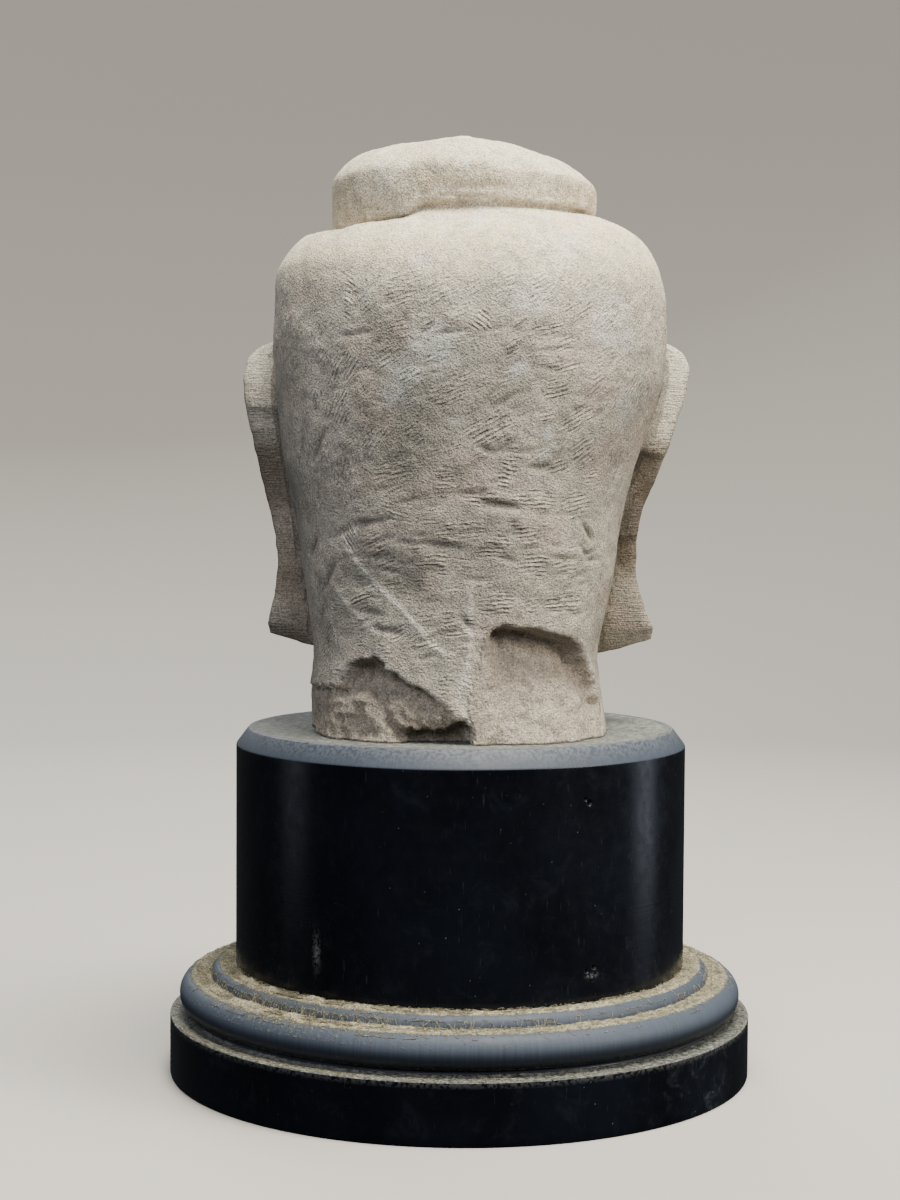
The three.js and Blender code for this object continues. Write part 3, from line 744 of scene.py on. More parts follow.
def unite(body, others):
    """Joins the others into the body as one closed solid, and removes them."""
    for other in others:
        union = body.modifiers.new("union", "BOOLEAN")
        union.operation = "UNION"
        union.solver = "MANIFOLD"
        union.object = other
    graph = bpy.context.evaluated_depsgraph_get()
    joined = bpy.data.meshes.new_from_object(body.evaluated_get(graph))
    body.modifiers.clear()
    joined.materials.clear()
    body.data = joined
    for other in others:
        bpy.data.objects.remove(other)
    joined.polygons.foreach_set("use_smooth", np.ones(len(joined.polygons), bool))
    if not len(joined.polygons):
        raise RuntimeError("the union of head and ears came out empty")


# ---- Materials ----
def linear(hex_colour):
    """Linear RGBA from an sRGB hex value such as #a1b2c3."""
    channels = [int(hex_colour[i : i + 2], 16) / 255 for i in (1, 3, 5)]
    return (*(c / 12.92 if c <= 0.04045 else ((c + 0.055) / 1.055) ** 2.4 for c in channels), 1.0)


def add_node(tree, kind, inputs=(), output=0, **settings):
    """Adds a node with its settings. Its inputs, by name or number, take plain values, or other nodes'
    outputs as links. Gives back one of its own outputs."""
    node = tree.nodes.new("ShaderNode" + kind)
    for name, value in settings.items():
        setattr(node, name, value)
    for key, value in dict(inputs).items():
        if isinstance(value, bpy.types.NodeSocket):
            tree.links.new(value, node.inputs[key])
        else:
            node.inputs[key].default_value = linear(value) if isinstance(value, str) else value
    return node.outputs[output] if node.outputs else None


COLOURS = {"output": 2, "data_type": "RGBA"}  # settings of a mix of two colours


def new_material(name):
    """A material with an empty node tree, add_node for that tree, and Object coordinates in millimetres."""
    material = bpy.data.materials.new(name)
    material.use_nodes = True
    material.node_tree.nodes.clear()
    add = partial(add_node, material.node_tree)
    place = add("TexCoord", output="Object")
    return material, add, add("Mapping", {"Vector": place, "Scale": (1 / MM,) * 3})


def patches(add, place, cell, low, high, amounts=(0.0, 1.0), **texture):
    """Soft-edged blots about one cell (mm) wide: a noise, whose range from low to high becomes the range
    of the two amounts."""
    blots = add("TexNoise", {"Vector": place, "Scale": 1 / cell, **texture})
    least, most = amounts
    span = {"Value": blots, "From Min": low, "From Max": high, "To Min": least, "To Max": most}
    return add("MapRange", span, interpolation_type="SMOOTHSTEP")


def sandstone_material():
    """Fine-grained sandstone, dressed with a toothed chisel: dry and matt, sandy to the eye, with streaks
    and ridges from the chisel's teeth over grooves darkened as painted shade, pale rubbed edges with a
    painted highlight, a top paler partly as painted light, grey stains, white lime bloom, brown earth and
    painted shade on the ears' backs, and darker dirt and painted shade in the cuts."""
    head = bpy.context.scene.stone_head
    material, add, place = new_material("sandstone")
    across, along, tooling, teeth_fade, fresh, pale_top = (
        add("Attribute", output="Fac", attribute_name=name)
        for name in ("across", "along", "tooling", "teeth_fade", "fresh", "pale_top")
    )

    # Warm and pinkish drifts a few centimetres wide, the pale top with its ochre, partly paler stone and
    # partly painted light from above, and mottling of 7 mm.
    drift = patches(add, place, 44, 0.38, 0.64, Detail=3)
    colour = add("Mix", {0: drift, 6: "#a09b8e", 7: "#b6afa1"}, **COLOURS)
    pink = patches(add, place, 27, 0.5, 0.68, (0, 0.55), Detail=3)
    pale = add("Math", {0: pale_top, 1: 0.7}, operation="MULTIPLY")
    ochre = patches(add, place, 15, 0.52, 0.7, (0, 0.45), Detail=5, Roughness=0.7)
    ochre = add("Math", {0: ochre, 1: pale_top}, operation="MULTIPLY")
    mottle = patches(add, place, 7, 0.42, 0.66, Detail=5, Roughness=0.7)
    mottling = add("Math", {0: mottle, 1: 0.5}, operation="MULTIPLY")
    broken_stone = add("Mix", {0: mottle, 6: "#b3a797", 7: "#94897b"}, **COLOURS)
    broken = add("Math", {0: fresh, 1: 0.7}, operation="MULTIPLY")
    for amount, over in (
        (pink, "#b8a799"),
        (pale, "#d6cab0"),
        (ochre, "#bda678"),
        (mottling, "#8f8a7f"),
        (broken, broken_stone),
    ):
        colour = add("Mix", {0: amount, 6: colour, 7: over}, **COLOURS)

    # Stains, bloom, brown earth with painted shade, dirt with painted shade in the hollows, and rubbed edges
    # with a painted highlight lie where the vertices say.
    for name, over, strength in (
        ("stain", "#666259", 0.6),
        ("brown", "#5b4e3f", 0.75),
        ("bloom", "#cdd1ca", 0.6),
        ("dirt", "#3f3930", 0.8),
        ("rubbed", "#e6dfd1", 0.6),
    ):
        amount = add("Attribute", output="Fac", attribute_name=name)
        amount = add("Math", {0: amount, 1: strength}, operation="MULTIPLY")
        colour = add("Mix", {0: amount, 6: colour, 7: over}, **COLOURS)

    # Streaks along each chisel stroke, about 1.3 mm apart and 5 mm long.
    lane = add("CombineXYZ", {"X": across, "Y": along})
    lane = add("Mapping", {"Vector": lane, "Scale": (1 / 1.3, 1 / 5, 1)})
    streak = add("TexNoise", {"Vector": lane, "Scale": 1.0, "Detail": 2, "Roughness": 0.6})
    spread = {"Value": streak, "From Min": 0.3, "From Max": 0.7, "To Min": -1.0, "To Max": 1.0}
    streak = add("MapRange", spread)
    streak = add("Math", {0: streak, 1: tooling}, operation="MULTIPLY")

    # Ridges between the teeth: a wave across each run that wavers and breaks off along it.
    waver = add("TexNoise", {"Vector": place, "Scale": 1 / 8, "Detail": 2})
    phase = add("Math", {0: across, 1: MM / head.tooth_pitch}, operation="MULTIPLY")
    phase = add("Math", {0: waver, 1: 1.3, 2: phase}, operation="MULTIPLY_ADD")
    wave = add("Math", {0: add("Math", {0: phase, 1: 2 * math.pi}, operation="MULTIPLY")}, operation="SINE")
    bite = patches(add, lane, 1 / 0.22, 0.32, 0.52, (0.25, 1), Detail=2, Roughness=0.6)
    force = add("Math", {0: teeth_fade, 1: bite}, operation="MULTIPLY")
    teeth = add("Math", {0: wave, 1: force}, operation="MULTIPLY")

    # Sand grains about a millimetre across with a finer set, drawn a little coarse so that they show.
    grain = add("TexNoise", {"Vector": place, "Scale": 1 / 1.1, "Detail": 2, "Roughness": 0.6})
    speck = add("TexNoise", {"Vector": place, "Scale": 1 / 0.75, "Detail": 0})
    grains = add("Mix", {0: 0.45, 2: grain, 3: speck})
    spread = {"Value": grains, "From Min": 0.32, "From Max": 0.68, "To Min": 0.55, "To Max": 1.42}
    grain_shade = add("MapRange", spread)
    # The teeth and streaks also lighten the ridges and darken the grooves in the colour: partly dust on the
    # ridges, partly painted shade.
    shade = add("Math", {0: teeth, 1: 0.2, 2: grain_shade}, operation="MULTIPLY_ADD")
    shade = add("Math", {0: streak, 1: 0.3, 2: shade}, operation="MULTIPLY_ADD")
    tint = add("CombineColor", {"Red": shade, "Green": shade, "Blue": shade})
    colour = add("Mix", {0: 1.0, 6: colour, 7: tint}, blend_type="MULTIPLY", **COLOURS)

    # Heights in millimetres for the bump.
    crumbs = add("TexNoise", {"Vector": place, "Scale": 1 / 3.2, "Detail": 5, "Roughness": 0.68})
    crumbs = add("Math", {0: crumbs, 1: fresh}, operation="MULTIPLY")
    lumps = add("TexNoise", {"Vector": place, "Scale": 1 / 4.5, "Detail": 2})
    height = add("Math", {0: teeth, 1: head.tooth_depth / MM}, operation="MULTIPLY")
    for part, amount in ((streak, 0.34), (grains, 0.7), (crumbs, 2.6), (lumps, 0.45)):
        height = add("Math", {0: part, 1: amount, 2: height}, operation="MULTIPLY_ADD")
    normal = add("Bump", {"Height": height, "Distance": MM})
    shader = add(
        "BsdfPrincipled",
        {"Base Color": colour, "Roughness": 0.95, "Specular IOR Level": 0.2, "Normal": normal},
    )
    add("OutputMaterial", {"Surface": shader})
    return material


def ebonised_wood_material():
    """Turned hardwood, stained black and wax-polished: a deep, slightly blue gloss with fine turning
    rings, hair scratches and specks, a bluish bloom of handling and dust where it faces up that is also a
    painted reflection of the light above, painted highlights on its rims, and a mat of dust on its ledges."""
    material, add, place = new_material("ebonised_wood")
    dust, felt, haze, scuff, smear, arc_length = (
        add("Attribute", output="Fac", attribute_name=name)
        for name in ("dust", "felt", "haze", "scuff", "smear", "arc")
    )

    # Black stain, a little uneven, and smudges of a centimetre or two where hands have smeared it.
    cloud = patches(add, place, 50, 0.35, 0.7, Detail=4)
    colour = add("Mix", {0: cloud, 6: "#080a0f", 7: "#0e1118"}, **COLOURS)
    smudge = patches(add, place, 14, 0.52, 0.74, Detail=6, Roughness=0.7, Distortion=0.6)
    smudge = add("Math", {0: smudge, 1: smear}, operation="MULTIPLY")

    # Specks of dust half a millimetre wide, hair scratches that lean one way, and worn spots and edges, the
    # edges also a painted highlight.
    speck = add("TexVoronoi", {"Vector": place, "Scale": 1 / 6.5}, output="Distance")
    spread = {"Value": speck, "From Min": 0.035, "From Max": 0.06, "To Min": 0.4, "To Max": 0.0}
    speck = add("MapRange", spread)
    speck = add("Math", {0: speck, 1: cloud}, operation="MULTIPLY")
    scratch_size = (1 / 1.1, 1 / 12, 1 / 12)
    lean = add("Mapping", {"Vector": place, "Rotation": (0.0, 0.7, 0.0), "Scale": scratch_size})
    hair = add("TexNoise", {"Vector": lean, "Scale": 1.0, "Detail": 2, "Roughness": 0.7})
    hair = add("MapRange", {"Value": hair, "From Min": 0.67, "From Max": 0.75, "To Max": 0.14})
    worn = patches(add, place, 1.6, 0.4, 0.58, Detail=3)
    worn = add("Math", {0: worn, 1: scuff}, operation="MULTIPLY")
    for amount, over in ((smudge, "#3b4048"), (speck, "#8f8f88"), (hair, "#565a60"), (worn, "#8d8f90")):
        colour = add("Mix", {0: amount, 6: colour, 7: over}, **COLOURS)

    # The bloom is a thin bluish film of handling and dust, and also a painted reflection of the cool light
    # above, wiped into streaks about a millimetre wide that run over the mouldings.
    wiped = add("CombineXYZ", {"X": arc_length})
    wiped = add("TexNoise", {"Vector": wiped, "Scale": 1 / 1.3, "Detail": 3, "Roughness": 0.7})
    spread = {"Value": wiped, "From Min": 0.35, "From Max": 0.65, "To Min": 0.72, "To Max": 1.1}
    wiped = add("MapRange", spread)
    film = add("Math", {0: haze, 1: wiped}, operation="MULTIPLY")
    film_cover = add("Math", {0: film, 1: 0.62}, operation="MULTIPLY")
    colour = add("Mix", {0: film_cover, 6: colour, 7: "#515b69"}, **COLOURS)

    # The dust is a soft mat with a ragged edge, thicker in clots of 2 to 3 mm.
    clots = add("TexNoise", {"Vector": place, "Scale": 1 / 2.2, "Detail": 5, "Roughness": 0.7})
    edge = add("Math", {0: clots, 1: 1.3, 2: -0.8}, operation="MULTIPLY_ADD")
    cover = add("Math", {0: dust, 1: edge}, operation="ADD")
    smooth = {"interpolation_type": "SMOOTHSTEP"}
    cover = add("MapRange", {"Value": cover, "From Min": 0.25, "From Max": 0.8}, **smooth)
    dust_tone = add("MapRange", {"Value": clots, "From Min": 0.35, "From Max": 0.65}, **smooth)
    felt_colour = add("Mix", {0: dust_tone, 6: "#666353", 7: "#8d8871"}, **COLOURS)
    powder_colour = add("Mix", {0: dust_tone, 6: "#6c6f69", 7: "#898c85"}, **COLOURS)
    dust_colour = add("Mix", {0: felt, 6: powder_colour, 7: felt_colour}, **COLOURS)
    colour = add("Mix", {0: cover, 6: colour, 7: dust_colour}, **COLOURS)

    # The polish is uneven, and duller under the film; the dust has no shine.
    polish = add("TexNoise", {"Vector": place, "Scale": 1 / 6, "Detail": 4, "Roughness": 0.6})
    spread = {"Value": polish, "From Min": 0.35, "From Max": 0.65, "To Min": 0.2, "To Max": 0.3}
    polish = add("MapRange", spread)
    rough = add("Math", {0: film, 1: 0.36, 2: polish}, operation="MULTIPLY_ADD")
    rough = add("Mix", {0: cover, 2: rough, 3: 0.95})

    # Heights in millimetres for the bump: turning rings just under a millimetre apart, and fluff.
    turning = add("Mapping", {"Vector": place, "Scale": (0.01, 0.01, 1.2)})
    rings = add("TexNoise", {"Vector": turning, "Scale": 1.0})
    height = add("Math", {0: rings, 1: 0.02}, operation="MULTIPLY")
    fluff = add("Math", {0: cover, 1: clots}, operation="MULTIPLY")
    height = add("Math", {0: fluff, 1: 1.1, 2: height}, operation="MULTIPLY_ADD")
    normal = add("Bump", {"Height": height, "Distance": MM})
    shader = add(
        "BsdfPrincipled",
        {
            "Base Color": colour,
            "Roughness": rough,
            "IOR": 1.4,
            "Specular IOR Level": 0.35,
            "Normal": normal,
        },
    )
    add("OutputMaterial", {"Surface": shader})
    return material


def dust_material():
    """Household dust and lint, a felt of pale fibres and grit: no shine, fluffy, beige with darker
    hollows."""
    material, add, place = new_material("house_dust")
    tone = add("TexNoise", {"Vector": place, "Scale": 1 / 3, "Detail": 4, "Roughness": 0.7})
    tone = add("MapRange", {"Value": tone, "From Min": 0.35, "From Max": 0.62})
    colour = add("Mix", {0: tone, 6: "#625f50", 7: "#969078"}, **COLOURS)
    bits = add("TexNoise", {"Vector": place, "Scale": 1 / 0.8, "Detail": 1})
    bits = add("MapRange", {"Value": bits, "From Min": 0.55, "From Max": 0.68})
    colour = add("Mix", {0: bits, 6: colour, 7: "#bcb7a0"}, **COLOURS)
    fluff = add("TexNoise", {"Vector": place, "Scale": 1 / 1.1, "Detail": 3, "Roughness": 0.7})
    normal = add("Bump", {"Height": fluff, "Distance": 1.4 * MM})
    shader = add(
        "BsdfPrincipled",
        {"Base Color": colour, "Roughness": 1.0, "Specular IOR Level": 0.1, "Normal": normal},
    )
    add("OutputMaterial", {"Surface": shader})
    return material


def floor_material(colour):
    """Matt background paper: one even pale tone, very slightly uneven."""
    material, add, place = new_material("floor_paper")
    tone = add("TexNoise", {"Vector": place, "Scale": 1 / 400, "Detail": 2})
    darker = tuple(channel * 0.98 for channel in colour)
    shaded = add("Mix", {0: tone, 6: darker, 7: tuple(colour)}, **COLOURS)
    shader = add("BsdfPrincipled", {"Base Color": shaded, "Roughness": 0.9})
    add("OutputMaterial", {"Surface": shader})
    return material


# ---- The head ----
def head_form():
    """The head's form with its face, without ears and tool marks: rings of points from the neck up, and
    the turn of each point. The steps are finest on the back and on the face. A dome of rings that shrink
    to its middle, its height one less the square of their share, closes the top."""
    turns = np.radians(spaced(0, (68, 0.8), (130, 3), (230, 1.1), (292, 3), (360, 0.8))[:-1])
    heights = spaced(0, (210, 1.0), (238, 1.4), (256, 0.9), (BUN[-1][0], 1.4))
    turn, height = np.meshgrid(turns, heights)
    s, c = np.sin(turn), np.cos(turn)
    radius, shift = shell(turn, height)
    radius += np.where(c < 0, front_relief(turn, radius * s, height), 0)
    form = np.stack([shift + radius * s, AXIS_Y + radius * c, HEAD_BASE + height], axis=-1)
    rim_x, rim_y, rim_z = form[-1].T
    shares = np.linspace(1, 0, DOME_RINGS + 2)[1:-1, None]
    rise = (HEAD_HEIGHT - BUN[-1][0]) * (1 - shares**2)
    dome = np.stack([rim_x * shares, mix(AXIS_Y, rim_y, shares), rim_z + rise], axis=-1)
    turn = np.concatenate([turn, np.repeat(turn[-1:], DOME_RINGS, axis=0)])
    return np.concatenate([form, dome]), signed(turn)


def head_rings():
    """The head without its ears: each point of the form is moved out along its normal by the unevenness
    and the cuts, and level inwards by the breaks."""
    form, turn = head_form()
    height = form[..., 2] - HEAD_BASE
    out = back_relief(turn, height, form) * mix(0.35, 1, smoothstep(-0.6, 0.1, np.cos(turn)))
    out += bun_relief(turn, height, form)
    out += 0.1 * fractal(form, 4.5, 2, 8)
    # The top is worn down a little, so that nothing rises out of the frame's box.
    out -= smoothstep(278, 284, height) * 0.7
    depth, fresh = breaks(turn, height, form)
    crumbs = fresh * (0.45 * fractal(form, 3.2, 2, 9, 0.6) + 0.5 * fractal(form, 7, 2, 10))
    scale = bpy.context.scene.stone_head.break_depth / BREAK_DEPTH
    depth = depth * scale + crumbs * smoothstep(0, 2, depth)
    normal = grid_normals(form)
    level = normal * [1, 1, 0]
    level /= np.maximum(np.linalg.norm(level, axis=-1, keepdims=True), 1e-9)
    rings = form + normal * (out * (1 - 0.7 * fresh))[..., None] - level * depth[..., None]
    rings[:, :, 2] -= BUN_TILT * smoothstep(260, 278, height) * np.maximum(0, -rings[:, :, 0] - 1)
    rings[:, :, 2] = np.clip(rings[:, :, 2], HEAD_BASE, HEAD_TOP)
    rings[0, :, 2] = HEAD_BASE
    return rings


def ear_back(side, height, x):
    """Where the ear's back face lies along Y, with its steps falling towards the outer edge."""
    slanted = height + EAR_STEP_SLANT[side] * (x - 90) * bell(height - 138, 26)
    return through(EAR_BACKS[side])(slanted)


def ear_rings(side):
    """One ear as rings up a slab: a squarish superellipse section at each height, whose outer face has a
    rolled rim, a groove and a cup inside it, and a long slit in the lobe."""
    edges = EAR_EDGES[side]
    bottom, top = edges[0][0], edges[-1][0]
    heights = spaced(bottom, (bottom + 12, 1.0), (top - 20, 1.5), (top, 1.0))
    angles = -side * (np.arange(EAR_AROUND) + 0.5) / EAR_AROUND * 2 * np.pi
    angle, height = np.meshgrid(angles, heights)
    outer, front = through(edges)(height), through(EAR_FRONT)(height)
    scale = super_radius(np.sin(angle), np.cos(angle), 1, 1, EAR_BOX)
    p, q = scale * np.cos(angle), scale * np.sin(angle)
    share = (height - bottom) / (top - bottom)
    from_middle = np.hypot(q, np.maximum(0, share - 0.62) / 0.36)
    # The groove inside the rim, the deeper cup and the slit in the lobe.
    hollow = 3.4 * (1 - smoothstep(0.5, 0.72, from_middle)) * smoothstep(0.3, 0.46, share)
    hollow += 3.2 * (1 - smoothstep(0.16, 0.36, from_middle)) * smoothstep(0.4, 0.5, share)
    hollow += 5 * plateau(q - 0.05, 0.17) * plateau(share - 0.25, 0.14)
    face = outer - EAR_SLANT * (0.5 - 0.5 * q) - hollow * smoothstep(0.8, 1, p)
    x = mix(EAR_ROOT, face, 0.5 + 0.5 * p / EAR_CORNER)
    back = ear_back(side, height, x)
    y = mix(front, back, 0.5 + 0.5 * q)
    drop = LOBE_SLOPE * (outer - x) * (1 - smoothstep(0, 12, height - bottom))
    rings = np.stack([side * x, y, HEAD_BASE + height - drop], axis=-1)
    worn = 0.5 * noise(rings, 13, 31) + 0.3 * fractal(rings, 5, 3, 32) - 0.3
    if side == 1:
        # A crack beside this ear's lobe.
        worn -= 2.2 * bell(x - 75, 1.6) * bell(height - 65, 6) * smoothstep(0.5, 0.9, q)
    rings = rings + grid_normals(rings) * worn[..., None]
    ends = [rings[0].mean(axis=0), rings[-1].mean(axis=0)]
    return rings, ends


def stone_dirt(turn, height, points, fresh, on_ear):
    """Dirt and painted shade in the cuts and pits, in the groove under the bun, deep in the ragged break and
    along the ears' seams."""
    x, y = points[:, 0], points[:, 1]
    # Darker in the chisel cuts, as dirt and painted shade.
    cuts = gouge_depth(turn, height, GOUGES) / 1.6
    cuts = np.maximum(cuts, gouge_depth(turn, height, SMALL_GOUGES) / 1.1)
    pits = [(*pit, 1.0) for pit in PITS]
    dirt = np.maximum(smoothstep(0.3, 1, cuts) * 0.7, soft_patches(turn, height, points, pits, 51))
    dirt = dirt * (1 - fresh)
    # Painted shadow under the lip of the bun, along its groove.
    groove = bell(height - groove_height(turn) - 0.2, 1.5) * (0.65 + 0.5 * noise(points, 12, 52))
    dirt = np.maximum(dirt * (1 - on_ear), 0.75 * groove * smoothstep(-0.2, 0.3, np.cos(turn)))
    # Painted shade deep in the cavity at the foot of the ragged break.
    cavity = (1 - smoothstep(7, 12, height)) * smoothstep(-6, -4, x) * (1 - smoothstep(24, 33, x))
    dirt = np.maximum(dirt, 0.6 * cavity * fresh)
    # Painted shade in the creases where the ears' backs meet the head.
    for side in EAR_EDGES:
        edge = ear_back(side, height, np.abs(x))
        seam = bell(y - edge - 0.5, 1.8) * (side * x > 62) * (np.abs(height - 118) < 74)
        dirt = np.maximum(dirt, 0.8 * seam * (1 - on_ear))
    return dirt


def stone_rubbing(turn, height, points):
    """Pale rubbed stone with a painted highlight on the arrises, in patches on the rims of the breaks and on
    the bun's lower edge.
    """
    rims = [inside_by(points[:, 0], height, outline) for outline in (RAGGED_BREAK, SCOOPED_BREAK)]
    rim = np.maximum(*(bell(inside + 0.5, 1.5) for inside in rims))
    patchy = smoothstep(-0.3, 0.5, noise(points, 9, 56))
    # Lighter on the raised arrises and rims, as rubbed stone and a painted highlight.
    rubbed = np.maximum(arris_height(turn, height), 0.6 * rim * patchy)
    return np.maximum(rubbed, 0.7 * bell(height - groove_height(turn) - 3.2, 1.6) * patchy)


def ear_brown(height, points, on_ear):
    """Brown earth and painted shade on the back of the ears' lower halves, less at the foot of the right one.
    """
    x, y = points[:, 0], points[:, 1]
    # Darker on the ears' backs below their waist, as brown earth and painted shade.
    brown = on_ear * smoothstep(-32, -20, y) * (1 - smoothstep(136, 150, height))
    return brown * (0.75 + 0.5 * noise(points, 16, 57) - 0.35 * (1 - smoothstep(40, 62, height)) * (x < 0))


def store_stone_values(piece):
    """Works out, at each vertex, what the sandstone's material reads: the ears are what stands clear of
    the skull, and their tool marks run level."""
    points = mesh_points(piece)
    height = points[:, 2] - HEAD_BASE
    out_x, out_y = points[:, 0] - shift_x(height), points[:, 1] - AXIS_Y
    turn = np.arctan2(out_x, out_y)
    gap = np.hypot(out_x, out_y) - shell(turn, height)[0]
    on_ear = smoothstep(*EAR_CLEARANCE, gap) * (height < EAR_TOP)
    at_back = smoothstep(-0.3, 0.15, np.cos(turn)) * (1 - on_ear)
    fresh = breaks(turn, height, points)[1] * (1 - on_ear)
    across, along, force, fade = tool_place(turn, height)
    worked = worked_share(turn, height)
    tooling = worked * fade * mix(0.55, 1, force) * (1 - 0.75 * fresh)
    tooling = np.where(on_ear > 0.5, 0.5 * smoothstep(-26, -16, points[:, 1]), tooling)
    # The marks fade out where skull and ear meet, because they change direction there.
    tooling *= smoothstep(0, 1.2, np.abs(gap - 2.7))
    give_values(
        piece,
        across=np.where(on_ear > 0.5, height * 1.7, across),
        along=np.where(on_ear > 0.5, points[:, 0] * 0.6, along),
        tooling=tooling,
        teeth_fade=force * fade * worked * (1 - on_ear) * (1 - fresh),
        fresh=fresh,
        # The top is painted paler, partly as the light that falls on it from above.
        pale_top=smoothstep(*GREY_TO_PALE, height),
        stain=soft_patches(turn, height, points, STAINS, 53) * at_back * (1 - fresh),
        bloom=soft_patches(turn, height, points, BLOOMS, 54) * at_back * (1 - fresh),
        brown=ear_brown(height, points, on_ear),
        dirt=stone_dirt(turn, height, points, fresh, on_ear),
        rubbed=stone_rubbing(turn, height, points) * at_back,
    )


# ---- The plinth ----
def arc(centre_radius, centre_height, tube, start, end, step=6):
    """Points along a half-round moulding between two angles in degrees."""
    angles = np.radians(np.linspace(start, end, max(3, round(abs(end - start) / step) + 1)))
    return np.stack([centre_radius + tube * np.cos(angles), centre_height + tube * np.sin(angles)], axis=-1)


def softened(corners, radius):
    """A profile through corners, each rounded by a quadratic curve that starts and ends one radius away
    from it."""
    corners = np.array(corners, float)
    ahead = corners[1:] - corners[:-1]
    ahead /= np.linalg.norm(ahead, axis=1, keepdims=True)
    t = np.linspace(0, 1, 5)[:, None]
    profile = [corners[:1]]
    for before, corner, after in zip(ahead, corners[1:-1], ahead[1:]):
        start, end = corner - radius * before, corner + radius * after
        profile.append((1 - t) ** 2 * start + 2 * t * (1 - t) * corner + t**2 * end)
    return np.concatenate([*profile, corners[-1:]])


def plinth_profile():
    """Radius and height along the turned outline, from the middle of the underside to the middle of the
    top."""
    top = PLINTH_TOP
    side = [(FOOT_RADIUS, height) for height in (0, 5, DISC_HEIGHT - 4, DISC_HEIGHT)]
    disc = softened([(FOOT_RADIUS - 12, 0), *side, (FOOT_RADIUS - 4.6, DISC_HEIGHT)], EDGE_SOFTNESS)
    ledge = [(LOWER_TORUS[0] + out, DISC_HEIGHT + up) for out, up in ((6, 0), (3.4, 0.5), (3, 1.6))]
    lower = arc(*LOWER_TORUS, -66, 96)
    crease = [(DRUM_RADIUS + UPPER_TORUS[2] + 5.6, UPPER_TORUS[1] - 3)]
    upper = arc(*UPPER_TORUS, -18, 128)
    foot = [(DRUM_RADIUS + 0.6, DRUM_FOOT + 0.2)]
    holes = sorted(height for _, height, _ in WORM_HOLES)
    wall_rows = spaced(
        DRUM_FOOT + 1, (holes[0] - 3, 2.5), (holes[2] + 3, 0.4), (holes[3] - 3, 4), (holes[4] + 3, 0.4),
        (top - CHAMFER_DROP - 2, 3),
    )  # fmt: skip
    wall = np.stack([np.full(len(wall_rows), float(DRUM_RADIUS)), wall_rows], axis=-1)
    flat_radius = DRUM_RADIUS - CHAMFER_RUN
    chamfer = [(DRUM_RADIUS, top - CHAMFER_DROP), (flat_radius, top)]
    rim = softened([wall[-1], *chamfer, (flat_radius - 6, top)], EDGE_SOFTNESS)[1:]
    inner = [(radius, top) for radius in (90, 70, 45, 20)]
    underside = [(radius, 0) for radius in (20, 60, 100)]
    return np.concatenate([underside, disc, ledge, lower, crease, upper, foot, wall, rim, inner])


def plinth_rings():
    """The profile turned about the axis, with finer steps beside the worm holes, which are pushed in as
    dents."""
    near = [turn + 360 for turn, _, _ in WORM_HOLES]
    fine_start, fine_end = min(near) - HOLE_MARGIN, max(near) + HOLE_MARGIN
    turns = np.radians(spaced(0, (fine_start, 1.5), (fine_end, 0.22), (360, 1.5))[:-1])
    profile = plinth_profile()
    radius = profile[:, :1]
    height = profile[:, 1:]
    wall = (np.abs(radius - DRUM_RADIUS) < 0.01) & (height > DRUM_FOOT)
    depth = 0
    for hole_turn, hole_height, hole_radius in WORM_HOLES:
        across = (turns - math.radians(hole_turn + 360)) * DRUM_RADIUS
        distance = np.hypot(across, height - hole_height)
        inside = 1 - smoothstep(hole_radius * 0.75, hole_radius * 1.15, distance)
        depth = np.maximum(depth, HOLE_DEPTH * inside)
    return turned(radius - np.where(wall, depth, 0), turns, height)


